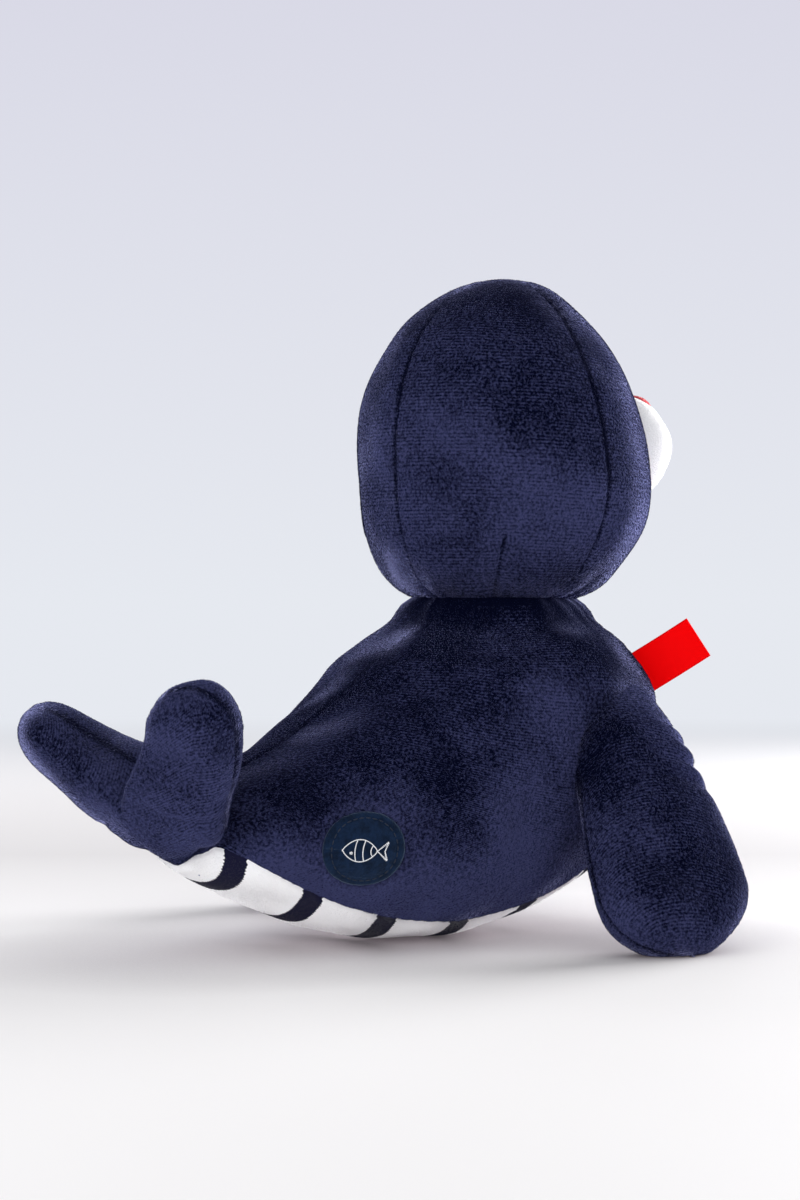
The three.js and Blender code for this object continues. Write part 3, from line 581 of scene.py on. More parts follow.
def bodyLines():
    top = []
    for drop in (0, neck["collarHeight"]):
        radius = neck["radius"] + drop / neck["collarHeight"] * neck["collarFlare"]
        top.append((radius, neck["setback"] + radius, neck["setback"] - radius, neck["height"] - drop))
    ridge = [(radius, back, z) for radius, back, front, z in top]
    keel = [(math.radians(body["belly"][0]), front, z) for radius, back, front, z in top]
    ridge += [(half, y, z) for half, (y, z) in zip(body["halfWidth"], body["ridge"])]
    keel += [(math.radians(angle), y, z) for angle, (y, z) in zip(body["belly"], body["keel"])]
    return ridge, keel


ridgeLine, keelLine = bodyLines()
lastSection = len(ridgeLine) - 1


def bodySection(at):
    past = np.maximum(at - lastSection, 0)
    at = np.minimum(at, lastSection)
    ridge, keel = curvePoints(ridgeLine, at), curvePoints(keelLine, at)
    halfWidth, belly = ridge[..., 0].copy(), keel[..., 0] * (1 - body["tailTaper"] * past)
    ridge[..., 0] = keel[..., 0] = 0
    down = keel - ridge
    halfHeight = np.linalg.norm(down, axis=-1) / 2
    down = unit(down)
    return (ridge + keel) / 2, down, np.cross(xAxis, down), halfHeight, halfWidth, belly


def bodyPoints(at, angle):  # at counts sections, then the tail's end; angle runs from the keel to the left
    middle, down, back, halfHeight, halfWidth, _ = bodySection(at)
    bend = np.maximum(at - lastSection, 0) * math.pi / 2
    return (middle + down * (halfHeight * np.cos(bend) * np.cos(angle))[..., None]
            + xAxis * (halfWidth * np.cos(bend) * np.sin(angle))[..., None]
            + back * (body["tailCap"] * np.sin(bend))[..., None])


def bodyPlaces():
    fine = np.linspace(0, lastSection + body["capEnd"], 600)
    ring = np.linspace(0, 2 * math.pi, 24, endpoint=False)
    grid = bodyPoints(*np.meshgrid(fine, ring, indexing="ij"))
    return evenSpread(fine, np.linalg.norm(np.diff(grid, axis=0), axis=-1).mean(axis=1), body["rows"])


def bodyDirections(at, angle):
    step = 0.01
    at, angle = np.array(float(at)), np.array(float(angle))
    along = unit(bodyPoints(at + step, angle) - bodyPoints(at - step, angle))
    around = unit(bodyPoints(at, angle + step) - bodyPoints(at, angle - step))
    out = unit(np.cross(along, around))
    return along, out * np.sign(out @ (bodyPoints(at, angle) - bodySection(at)[0]))


# Flippers: where they stand, from the frame's joints

frontFlipper = {
    "length": 74, "halfWidth": 28, "halfThickness": 13.5, "rootHalfWidth": 23, "rootHalfThickness": 13.5,
    "tip": 26, "sweep": 24, "rows": 72, "columns": 40, "capEnd": 0.97, "lump": 0.7,
    "bendStart": -3, "bendEnd": 24, "rootSink": 0.5, "rootSwell": 0.8, "sleeve": 24, "sleeveSlim": 1.7,
    "flare": 0, "capFlare": 0, "underFlare": 0, "overFlare": {"right": 0, "left": 0}, "flareReach": 10,
    "rootTrim": 4, "trimReach": 22, "tipSquare": 0.8, "tipRound": 0.45, "tipShift": 1.5,
    "trailSeam": {"right": 180, "left": 180}, "leadSeam": {"right": 0, "left": 0}, "seamOpen": 1.0,
    "paintedLight": 0.15, "rootGloom": 0.55, "napTilt": 0.4, "flushReach": 10, "flushTo": 14,
    "wrinkles": [(-10, 1.0, 50, 45), (-3, 1.7, 30, 45), (5, 1.9, 28, 45), (13, 1.0, 45, 45),
                 (26, 0.4, 90, 60)],  # mm along, depth, angle, spread
}
hindFlipper = {
    "length": 49, "halfWidth": 14.5, "halfThickness": 11.5, "rootHalfWidth": 13, "rootHalfThickness": 10,
    "tip": 16, "sweep": 42, "rise": {"right": 55, "left": 38}, "rows": 60, "columns": 30, "capEnd": 0.97,
    "lump": 0.5, "bendStart": -2, "bendEnd": 18, "rootSink": 0.6, "rootSwell": 0.0, "sleeve": 3,
    "sleeveSlim": 1.0, "flare": 12, "capFlare": 13, "underFlare": 2, "overFlare": {"right": 0, "left": 9},
    "flareReach": 22, "rootTrim": 4, "trimReach": 16, "tipSquare": 0.92, "tipRound": 0, "tipShift": 0,
    "trailSeam": {"right": 168, "left": 128}, "leadSeam": {"right": -25, "left": 0}, "seamOpen": 1.5,
    "paintedLight": 0.95, "rootGloom": 0.0, "napTilt": 0.3, "flushReach": 4, "flushTo": 4,
    "wrinkles": [(6, 0.8, 100, 60), (12, 0.5, 60, 50)],
}


def limbFrame(end, sideName):
    size = frontFlipper if end == "front" else hindFlipper
    side = 1 if sideName == "left" else -1
    name = f"{end}_flipper_{sideName}"
    joint = joints[f"{name}_{'lift' if end == 'front' else 'bend'}"]
    edge = unit(np.array(joint["axis"], float))
    edge *= -np.sign(edge[1])  # the leading edge looks forward
    sweep = math.radians(size["sweep"])
    level = np.array([side * math.cos(sweep), math.sin(sweep), 0])
    droop = -math.radians(size["rise"][sideName]) if "rise" in size else math.atan2(-(level @ edge), -edge[2])
    reach = level * math.cos(droop) - zAxis * math.sin(droop)
    return {**size, "name": name, "pivot": fromFrame(joint["pos_m"]), "edge": edge, "reach": reach,
            "face": np.cross(edge, reach) * side, "overFlare": size["overFlare"][sideName],
            "trailAngle": math.radians(size["trailSeam"][sideName]),
            "leadAngle": math.radians(size["leadSeam"][sideName])}


limbs = [limbFrame(end, side) for end in ("front", "hind") for side in ("right", "left")]
flipperRoot = {"forward": 0.35, "swellFrom": -4, "swellTo": 14, "swellReach": 15, "sinkWidth": 1.8,
               "bareFrom": 0.75, "bareTo": 0.9}


def rootNearness(points, limb):  # 1 on the edge of a flipper's root, less inside it
    away = points - limb["pivot"]
    across = away @ limb["edge"] / limb["rootHalfWidth"]
    out = np.hypot(away @ limb["reach"], away @ limb["face"]) / limb["rootHalfThickness"]
    return np.hypot(across, out)


def bodyShape():  # the body's cloth in one closed surface, to lay things on and to find what is inside
    turns = np.linspace(0, 2 * math.pi, body["shapeColumns"])
    at, angle = np.meshgrid(bodyPlaces(), turns, indexing="ij")
    grid = bodyPoints(at, angle)
    normal = gridNormals(grid, grid - bodySection(at)[0])
    points, ways = grid.reshape(-1, 3), normal.reshape(-1, 3)
    face = gridFaces(np.arange(at.size).reshape(at.shape))
    middle = face[len(face) // 2]
    first = points[middle]
    if np.cross(first[1] - first[0], first[3] - first[0]) @ ways[middle[0]] < 0:
        face = face[:, ::-1]
    return BVHTree.FromPolygons(points.tolist(), face.tolist())


def overBody(points, tree, wayOut):  # how far points stand out of the body, less than 0 inside; its normals
    heights, ways = [], []
    for point in points.reshape(-1, 3):
        _, way, _, gap = tree.find_nearest(Vector(point))
        blocked = tree.ray_cast(Vector(point), Vector(wayOut))[0] is not None
        heights.append(-gap if blocked else gap)
        ways.append(way)
    return np.array(heights).reshape(points.shape[:-1]), np.array(ways).reshape(points.shape)


patch = {"radius": 13.5, "thickness": 1.2, "section": 7, "turn": -90, "rings": 16, "sides": 96,
         "height": 0.35, "ringInset": 2.6, "ringSink": 0.3, "ringWidth": 0.8, "edgeDrop": 0.5,
         "edgeFrom": 0.93, "lump": 0.06, "lumpSize": 4, "seed": 81,
         "bedDepth": 0.9, "bedMargin": 2.5, "bedEase": 3, "bareFrom": -1.2, "bareTo": -0.4}
patchAlong, patchOut = bodyDirections(patch["section"], math.radians(patch["turn"]))
patchMiddle = bodyPoints(np.array(float(patch["section"])), np.array(math.radians(patch["turn"])))


def bodyPanel(name, startAngle, endAngle, columns, seed):
    at = bodyPlaces()
    belly = bodySection(at)[5]
    share = edgeSpread(columns)
    angle = startAngle(belly)[:, None] * (1 - share) + endAngle(belly)[:, None] * share
    at = np.repeat(at[:, None], columns, axis=1)
    grid = bodyPoints(at, angle)
    normal = gridNormals(grid, grid - bodySection(at)[0])
    height = grid[..., 2]
    fromLeft, fromRight, fromTop, fromEnd = edgeDistances(grid)
    toSeam = np.minimum(fromLeft, fromRight)
    noRidge = np.full_like(toSeam, 99)  # the belly panel doesn't reach the back seam
    toRidge = {"body_left_side": fromRight, "body_right_side": fromLeft}.get(name, noRidge)
    groove, gathers = seamSink(toSeam, fromTop, seed)
    sink = pileHeight + gathers
    sink -= body["lump"] * lumps(grid, body["lumpSize"], body["seed"]) * rise(toSeam, 0, body["seamEase"])
    turn = np.arctan2(grid[..., 0], -(grid[..., 1] - neck["setback"]))
    sink += neckGathers(body, turn, grid, fromTop, body["seed"] + 1)
    fill = np.ones(grid.shape[:2])
    if name == "belly_panel":
        fill *= rise(toSeam, body["bellyBareFrom"], body["bellyBareTo"])
    fill *= rise(toRidge, seam["bareFrom"], seam["bareTo"])
    for limb in limbs:
        near = rootNearness(grid, limb)
        fromRoot = (near - 1) * limb["rootHalfThickness"]
        upward = (grid - limb["pivot"]) @ unit(zAxis + limb["edge"] * flipperRoot["forward"])
        above = rise(upward, flipperRoot["swellFrom"], flipperRoot["swellTo"])
        sink += limb["rootSink"] * dip(fromRoot, flipperRoot["sinkWidth"])
        swell = np.exp(-(np.maximum(fromRoot, 0) / flipperRoot["swellReach"]) ** 1.5)
        sink -= limb["rootSwell"] * above * swell
        fill *= rise(near, flipperRoot["bareFrom"], flipperRoot["bareTo"])
    fromPatch = np.linalg.norm(grid - patchMiddle, axis=-1)
    sink += patch["bedDepth"] * rise(patch["radius"] + patch["bedMargin"] - fromPatch, 0, patch["bedEase"])
    fill *= rise(fromPatch, patch["radius"] + patch["bareFrom"], patch["radius"] + patch["bareTo"])
    facing = gridNormals(grid - normal * sink[..., None], normal)
    outer = neckLip(grid - normal * (sink + groove)[..., None], fromTop, body, neck["height"] + neck["lip"])
    outer[..., 2] = np.maximum(outer[..., 2], floorGap["cloth"])
    # painted shade in the neck crease and along the back seam's groove
    paintedShade = np.maximum(dip(fromTop, body["gloomReach"]), seam["gloom"] * dip(toRidge, seam["gloomWidth"]))
    paintedShade -= body["paintedLight"] * (1 - rise(height, body["palerFrom"], body["palerTo"]))  # painted light off the floor: lower cloth paler
    # painted shade higher on the chest, painted light lower down
    if name == "belly_panel":
        paintedShade += body["chestGloom"] * (rise(height, body["chestFrom"], body["chestTo"]) - 0.5)
    else:
        side = np.sign(grid[..., 0].mean())
        # painted shade at the shoulder and in the armpit
        for (x, y, z), depth, reach in body["glooms"]:
            paintedShade += depth * dip(np.linalg.norm(grid - np.array([side * x, y, z]), axis=-1), reach)
    return outer, gridNormals(outer, normal), {
        "fill": fill, "nap": brushed(grid, 1, body["seed"] + 2), "course": fromTop, "station": fromEnd,
        "across": fromLeft, "facing": facing, "paintedShade": paintedShade, "tilt": body["napTilt"]}


def bodyPieces():
    def ridge(belly):
        return np.full_like(belly, math.pi)

    sides = {
        "body_left_side": (lambda belly: belly, ridge, body["sideColumns"], navyPile, navyNap),
        "body_right_side": (ridge, lambda belly: 2 * math.pi - belly, body["sideColumns"], navyPile, navyNap),
        "belly_panel": (
            lambda belly: -belly, lambda belly: belly, body["bellyColumns"], stripedJersey, whiteNap),
    }
    made = {}
    for seed, (node, (start, end, columns, material, nap)) in enumerate(sides.items(), 1):
        made[node] = clothPanel(f"{node}_cloth", *bodyPanel(node, start, end, columns, seed))
        growPile(made[node], nap, material, seed)
    return made


# Flipper panels

flipperSewing = {"lumpSize": 24, "seamEase": 10, "endEase": 6, "shiftFrom": 20, "wrinkleWidth": 2.0,
                 "wrinkleWander": 1.6, "wrinkleSize": 22, "flushFrom": 1, "flushStart": -6,
                 "bareFrom": -3.0, "bareTo": -1.8, "gloomReach": 18, "seed": 21}


def limbPoints(limb, at, angle):  # at: -1 to 0 round the root, 0 to 1 along, 1 to 2 round the tip
    ease = np.sin(np.clip(at, 0, 1) * math.pi / 2)
    halfWidth = limb["rootHalfWidth"] + (limb["halfWidth"] - limb["rootHalfWidth"]) * ease
    halfThickness = limb["rootHalfThickness"] + (limb["halfThickness"] - limb["rootHalfThickness"]) * ease
    bend = np.where(at < 0, at, np.maximum(at - 1, 0)) * math.pi / 2
    leading, trailing = np.maximum(np.cos(angle), 0), np.maximum(-np.cos(angle), 0)
    over, under = np.maximum(np.sin(angle), 0), np.maximum(-np.sin(angle), 0)
    rootCap = limb["rootHalfThickness"] + limb["capFlare"] * trailing + limb["sleeve"] * over
    cap = np.where(at < 0, rootCap, limb["tip"])  # the outer cloth's sleeve runs on up to the body
    square = np.where(at > 1, limb["tipSquare"] + limb["tipRound"] * leading, 1)
    out = (limb["length"] - limb["tip"]) * np.clip(at, 0, 1)
    out = out + cap * np.sign(bend) * np.abs(np.sin(bend)) ** square
    nearRoot = dip(out, limb["flareReach"])
    halfWidth = halfWidth + limb["flare"] * trailing * nearRoot  # a sewn root is broader behind
    halfWidth = halfWidth - limb["rootTrim"] * leading * dip(out, limb["trimReach"])
    halfThickness = halfThickness + limb["underFlare"] * under * nearRoot
    halfThickness = halfThickness + limb["overFlare"] * over * nearRoot
    slim = np.cos(bend) ** np.where((at < 0) & (angle < limb["trailAngle"]), limb["sleeveSlim"], square)
    shift = -limb["tipShift"] * rise(out, flipperSewing["shiftFrom"], limb["length"])
    return (limb["pivot"] + limb["reach"] * out[..., None]
            + limb["edge"] * (shift + halfWidth * np.cos(bend) ** square * np.cos(angle))[..., None]
            + limb["face"] * (halfThickness * slim * np.sin(angle))[..., None])


def limbPanel(limb, startAngle, endAngle, seed, bodyTree):
    sewing = flipperSewing
    fine = np.linspace(-limb["capEnd"], 1 + limb["capEnd"], 400)
    ring = np.linspace(0, 2 * math.pi, 24, endpoint=False)
    rings = limbPoints(limb, *np.meshgrid(fine, ring, indexing="ij"))
    places = evenSpread(fine, np.linalg.norm(np.diff(rings, axis=0), axis=-1).mean(axis=1), limb["rows"])
    angles = startAngle + (endAngle - startAngle) * edgeSpread(limb["columns"])
    at, angle = np.meshgrid(places, angles, indexing="ij")
    grid = limbPoints(limb, at, angle)
    along = (grid - limb["pivot"]) @ limb["reach"]
    normal = gridNormals(grid, grid - limb["pivot"] - limb["reach"] * along[..., None])
    fromLeft, fromRight, fromTop, fromEnd = edgeDistances(grid)
    toSeam = np.minimum(fromLeft, fromRight)
    openSeam = toSeam / limb["seamOpen"]
    groove, gathers = seamSink(openSeam, fromTop, seed)
    endEase = rise(fromEnd, 0, sewing["endEase"])
    sink = pileHeight + gathers * endEase
    lumpEase = rise(toSeam, 0, sewing["seamEase"])
    sink -= limb["lump"] * lumps(grid, sewing["lumpSize"], sewing["seed"]) * lumpEase
    wander = sewing["wrinkleWander"] * lumps(grid, sewing["wrinkleSize"], seed + 31)
    turned = np.degrees(angle) if startAngle < math.pi / 2 else 360 - np.degrees(angle)
    for place, depth, wrinkleAngle, spread in limb["wrinkles"]:
        fold = depth * dip(along - place - wander, sewing["wrinkleWidth"])
        sink += fold * dip(turned - wrinkleAngle, spread)
    facing = gridNormals(grid - normal * sink[..., None], normal)
    outer = grid - normal * (sink + groove * endEase)[..., None]
    outer[..., 2] = np.maximum(outer[..., 2], floorGap["cloth"])
    height, bodyWay = overBody(outer, bodyTree, xAxis * np.sign(limb["pivot"][0]))
    flush = 1 - rise(height, sewing["flushFrom"], limb["flushReach"])
    flush = (flush * (1 - rise(along, sewing["flushStart"], limb["flushTo"])))[..., None]
    facing = unit(facing * (1 - flush) + bodyWay * flush)  # the root's shading runs on from the body's
    fill = rise(height, sewing["bareFrom"], sewing["bareTo"])
    fill *= rise(openSeam, seam["bareFrom"], seam["bareTo"])
    # painted shade in the seam's groove
    paintedShade = seam["gloom"] * dip(openSeam, seam["gloomWidth"])
    # painted light where the flipper faces up
    paintedShade -= limb["paintedLight"] * np.maximum(facing[..., 2], 0)
    # painted shade at the root's trailing edge, next to the body
    fromRootEdge = np.linalg.norm(grid - limb["pivot"] + limb["edge"] * limb["rootHalfWidth"], axis=-1)
    paintedShade += limb["rootGloom"] * dip(fromRootEdge, sewing["gloomReach"])
    return outer, gridNormals(outer, normal), {
        "fill": fill, "nap": brushed(grid, 1, sewing["seed"] + 2), "course": fromTop,
        "facing": facing, "paintedShade": paintedShade, "tilt": limb["napTilt"]}


def flipperPieces(bodyTree):
    made = {}
    for number, limb in enumerate(limbs):
        turns = {"outer": (limb["leadAngle"], limb["trailAngle"]),
                 "inner": (limb["trailAngle"], 2 * math.pi + limb["leadAngle"])}
        for part, (startAngle, endAngle) in turns.items():
            seed = 40 + 2 * number + (part == "inner")
            panel = limbPanel(limb, startAngle, endAngle, seed, bodyTree)
            piece = clothPanel(f"{limb['name']}_{part}_cloth", *panel)
            growPile(piece, navyNap, navyPile, seed)
            made[f"{limb['name']}_{part}"] = piece
    return made


# Head

head = {
    "radius": 50.8, "rise": 39, "crown": 70, "lean": 3.2, "rows": 104, "columns": 76, "crownEnd": 0.992,
    "tuck": 6.0, "tuckReach": 2.8, "gather": 0.6, "gatherReach": 8.0, "gathers": 22, "lump": 0.45,
    "lumpSize": 30, "lumpEase": 12, "topEase": 10, "napTilt": 0.2, "gloomReach": 3, "gloom": 0.6,
    "gloomSpread": 26, "dartLength": 27, "dartFade": 0.85, "dartDepth": 0.9, "dartWidth": 1.1,
    "dartSlant": 0.08, "dartSink": 0.6, "dartReach": 6, "seed": 51,
    "dartColumns": 0.5 + np.linspace(-0.024, 0.056, 25),  # more columns, so that the dart is a crisp line
}
head["middle"] = neck["height"] + head["rise"]
head["drop"] = head["rise"] / math.sqrt(1 - (neck["radius"] / head["radius"]) ** 2)
headBottom = -math.asin(head["rise"] / head["drop"])


def headPoints(pitch, turn):  # pitch up from the widest part, turn from the face to the left
    height = np.where(pitch > 0, head["crown"], head["drop"]) * np.sin(pitch)
    radius = head["radius"] * np.cos(pitch)
    over = neck["setback"] * (np.sin(pitch) / math.sin(headBottom)) ** 2
    lean = np.where(pitch > 0, head["lean"] * np.sin(2 * pitch), over)
    return np.stack([radius * np.sin(turn), lean - radius * np.cos(turn), head["middle"] + height], axis=-1)


muzzle = {"halfWidth": 28, "halfHeight": 20.5, "halfDepth": 18, "rise": 13.5, "set": 1, "rows": 56,
          "columns": 72, "end": 125, "inset": 0.7, "lump": 0.3, "lumpSize": 18, "seed": 71,
          "split": 1.5, "splitWidth": 2.4, "splitTop": 6, "splitEase": 8, "hiddenTo": 44, "shownFrom": 48,
          "bedDepth": 1.2, "bedWidth": 0.125, "bareFrom": 0.86, "bareTo": 0.98}
muzzleMiddle = np.array([0, muzzle["set"] - head["radius"], head["middle"] + muzzle["rise"]])
nose = {"halfWidth": 9, "halfHeight": 5.5, "halfDepth": 6.5, "pitch": 45, "rows": 40, "columns": 56,
        "end": 150, "inset": 0.5, "lump": 0.2, "lumpSize": 7, "seed": 72,
        "bedDepth": 0.8, "bedWidth": 0.25, "bareFrom": 0.8, "bareTo": 0.95}
nosePitch = math.radians(nose["pitch"])
noseMiddle = muzzleMiddle + np.array([0, -muzzle["halfDepth"] * math.cos(nosePitch),
                                      muzzle["halfHeight"] * math.sin(nosePitch)])
eye = {"radius": 5, "halfDepth": 2.2, "pitch": 33, "turn": 28, "threads": 22, "rows": 40, "columns": 64,
       "threadHeight": 0.16, "edgeDrop": 0.5, "set": 0.6, "thickness": 0.5,
       "bedDepth": 0.8, "bedMargin": 2, "bareInset": 1.2}


def headDirections(pitch, turn):
    step = 0.01

    def near(pitchStep, turnStep):
        return headPoints(np.array(pitch + pitchStep), np.array(turn + turnStep))

    up = unit(near(step, 0) - near(-step, 0))
    across = unit(near(0, step) - near(0, -step))
    return near(0, 0), up, across, np.cross(across, up)


eyes = {side: headDirections(math.radians(eye["pitch"]), sign * math.radians(eye["turn"]))
        for side, sign in (("left", 1), ("right", -1))}


def insideness(grid, middle, size):  # 1 on the surface of the muzzle or the nose, less inside it
    halves = np.array([size["halfWidth"], size["halfDepth"], size["halfHeight"]])
    return np.linalg.norm((grid - middle) / halves, axis=-1)


def headGore(startTurn, seed):
    fine = np.linspace(headBottom, head["crownEnd"] * math.pi / 2, 400)
    steps = np.linalg.norm(np.diff(headPoints(fine, fine * 0), axis=0), axis=-1)
    hasDart = startTurn in (math.pi / 2, math.pi)  # a dart shapes the bottom of each back gore
    share = edgeSpread(head["columns"])
    if hasDart:
        share = np.sort(np.concatenate([share, head["dartColumns"]]))
    pitches = evenSpread(fine, steps, head["rows"])
    pitch, turn = np.meshgrid(pitches, startTurn + math.pi / 2 * share, indexing="ij")
    grid = headPoints(pitch, turn)
    normal = gridNormals(grid, grid - np.array([0, 0, head["middle"]]))
    fromLeft, fromRight, fromBottom, fromTop = edgeDistances(grid)
    toSeam = np.minimum(fromLeft, fromRight)
    groove, gathers = seamSink(toSeam, fromBottom, seed)
    topEase = rise(fromTop, 0, head["topEase"])
    groove *= topEase
    sink = pileHeight + gathers * topEase
    lumpEase = rise(toSeam, 0, head["lumpEase"])
    sink -= (head["lump"] * lumps(grid, head["lumpSize"], head["seed"]) * lumpEase
             * rise(fromBottom, 0, head["lumpEase"]))
    sink += neckGathers(head, turn, grid, fromBottom, head["seed"] + 1)
    # painted shade in the seams, in the neck crease and over the head's lower part
    paintedShade = np.maximum(seam["gloom"] * dip(toSeam, seam["gloomWidth"]), dip(fromBottom, head["gloomReach"]))
    paintedShade = np.maximum(paintedShade, head["gloom"] * dip(fromBottom, head["gloomSpread"]))
    fill = rise(toSeam, seam["bareFrom"], seam["bareTo"])
    if hasDart:
        fromDart = np.abs(fromLeft - (fromLeft + fromRight) / 2 - head["dartSlant"] * fromBottom)
        dart = 1 - rise(fromBottom, head["dartLength"] * head["dartFade"], head["dartLength"])
        groove += dart * head["dartDepth"] * dip(fromDart, head["dartWidth"])
        sink += dart * head["dartSink"] * dip(fromDart, head["dartReach"])
        # painted shade along the dart
        paintedShade = np.maximum(paintedShade, dart * dip(fromDart, seam["gloomWidth"]))
        fill *= 1 - dart * (1 - rise(fromDart, seam["bareFrom"], seam["bareTo"]))
    inMuzzle = insideness(grid, muzzleMiddle, muzzle)
    fill *= rise(inMuzzle, muzzle["bareFrom"], muzzle["bareTo"])
    sink += muzzle["bedDepth"] * dip(inMuzzle - 1, muzzle["bedWidth"])
    for here, *_ in eyes.values():
        fromEye = np.linalg.norm(grid - here, axis=-1)
        fill *= rise(fromEye, eye["radius"] - eye["bareInset"], eye["radius"])
        sink += eye["bedDepth"] * dip(fromEye, eye["radius"] + eye["bedMargin"])
    facing = gridNormals(grid - normal * sink[..., None], normal)
    outer = grid - normal * (sink + groove)[..., None]
    outer = neckLip(outer, fromBottom, head, neck["height"] - neck["lip"])
    return outer, gridNormals(outer, normal), {
        "fill": fill, "nap": brushed(grid, -1, head["seed"] + 2), "course": fromBottom,
        "facing": facing, "paintedShade": paintedShade, "tilt": head["napTilt"]}


def headPieces():
    made = {}
    nodes = ("head_front_left", "head_back_left", "head_back_right", "head_front_right")
    for quarter, node in enumerate(nodes):
        seed = 60 + quarter
        made[node] = clothPanel(f"{node}_cloth", *headGore(quarter * math.pi / 2, seed))
        growPile(made[node], navyNap, navyPile, seed)
    return made


# Face: a white padded muzzle, a red nose and stitched eyes

def ellipsoid(middle, size):  # its pole looks forward, and its rings start below
    turns = 2 * math.pi * np.linspace(0, 1, size["columns"])
    tilts = np.linspace(0.02, math.radians(size["end"]), size["rows"])
    polar, around = np.meshgrid(tilts, turns, indexing="ij")
    ways = (np.sin(polar) * np.sin(around), np.sin(polar) * np.cos(around), np.cos(polar))
    halves = (xAxis * size["halfWidth"], -zAxis * size["halfHeight"], -yAxis * size["halfDepth"])
    grid = middle + sum(way[..., None] * half for way, half in zip(ways, halves))
    return grid, gridNormals(grid, grid - middle)


def muzzlePiece():
    grid, normal = ellipsoid(muzzleMiddle, muzzle)
    below = muzzleMiddle[2] + muzzle["splitTop"] - grid[..., 2]
    split = dip(grid[..., 0], muzzle["splitWidth"]) * rise(below, 0, muzzle["splitEase"])
    sink = muzzle["inset"] + muzzle["split"] * split
    sink -= muzzle["lump"] * lumps(grid, muzzle["lumpSize"], muzzle["seed"])
    inNose = insideness(grid, noseMiddle, nose)
    sink += nose["bedDepth"] * dip(inNose - 1, nose["bedWidth"])
    outer = grid - normal * sink[..., None]
    fromHead = np.linalg.norm(grid - [0, 0, head["middle"]], axis=-1)
    fill = rise(inNose, nose["bareFrom"], nose["bareTo"])
    fill *= rise(fromHead, muzzle["hiddenTo"], muzzle["shownFrom"])
    details = {"fill": fill, "nap": unit(np.gradient(grid, axis=0)), "course": edgeDistances(grid)[2]}
    piece = clothPanel("muzzle_cloth", outer, gridNormals(outer, normal), details)
    growPile(piece, whiteNap, whitePile, muzzle["seed"])
    return piece


def nosePiece():
    grid, normal = ellipsoid(noseMiddle, nose)
    sink = nose["inset"] - nose["lump"] * lumps(grid, nose["lumpSize"], nose["seed"])
    outer = grid - normal * sink[..., None]
    details = {"fill": np.ones(grid.shape[:2]), "nap": unit(np.gradient(grid, axis=0)),
               "course": edgeDistances(grid)[2]}
    piece = clothPanel("nose_cloth", outer, gridNormals(outer, normal), details)
    growPile(piece, whiteNap, redPile, nose["seed"])
    return piece


def eyePiece(side):  # a round of satin stitch: threads lie side by side over a low mound
    here, up, across, out = eyes[side]
    across = across * np.sign(out @ np.cross(across, up))
    turns = 2 * math.pi * np.linspace(0, 1, eye["columns"])
    ring, around = np.meshgrid(np.linspace(0.01, 1, eye["rows"]), turns, indexing="ij")
    x, y = ring * np.sin(around) * eye["radius"], ring * np.cos(around) * eye["radius"]
    thread = np.abs(np.sin(math.pi * x / (2 * eye["radius"]) * eye["threads"]))
    height = eye["halfDepth"] * np.sqrt(np.maximum(1 - ring ** 2, 0)) + eye["threadHeight"] * thread
    height = height - eye["edgeDrop"] * ring ** 6 - eye["set"]
    grid = here + x[..., None] * across + y[..., None] * up + height[..., None] * out
    details = {"fill": np.zeros(ring.shape), "nap": np.zeros(grid.shape), "course": x}
    normal = gridNormals(grid, out + 0 * grid)
    piece = clothPanel(f"eye_{side}_stitches", grid, normal, details, thickness=eye["thickness"])
    piece.data.materials.append(eyeThread)
    return piece


# Hip patch: a felt round sewn on with a ring of stitches and a small fish

def onBody(spots):  # brings flat spots of the patch, in millimetres from its middle, to the body's cloth
    around = np.cross(patchOut, patchAlong)
    points, ways = [], []
    for spot in spots.reshape(-1, 2):
        flat = patchMiddle + patchAlong * spot[0] + around * spot[1]
        place, way, _, _ = bodyTree.find_nearest(Vector(flat))
        points.append(np.array(place))
        ways.append(np.array(way) * np.sign(np.array(way) @ patchOut))
    shape = spots.shape[:-1] + (3,)
    return np.array(points).reshape(shape), np.array(ways).reshape(shape)


def patchPiece():
    turns = 2 * math.pi * np.linspace(0, 1, patch["sides"])
    ring, around = np.meshgrid(np.linspace(0.01, 1, patch["rings"]), turns, indexing="ij")
    spots = np.stack([np.cos(around), np.sin(around)], axis=-1) * (ring * patch["radius"])[..., None]
    grid, normal = onBody(spots)
    fromRing = ring * patch["radius"] - (patch["radius"] - patch["ringInset"])
    height = patch["height"] - patch["ringSink"] * dip(fromRing, patch["ringWidth"])
    height = height - patch["edgeDrop"] * rise(ring, patch["edgeFrom"], 1.0)
    height = height + patch["lump"] * lumps(grid, patch["lumpSize"], patch["seed"])
    outer = grid + normal * height[..., None]
    details = {"fill": np.ones(ring.shape), "nap": np.zeros(grid.shape) + patchAlong, "course": ring * 10}
    piece = clothPanel("hip_patch_felt", outer, normal, details, thickness=patch["thickness"])
    piece.data.materials.append(navyFelt)
    return piece


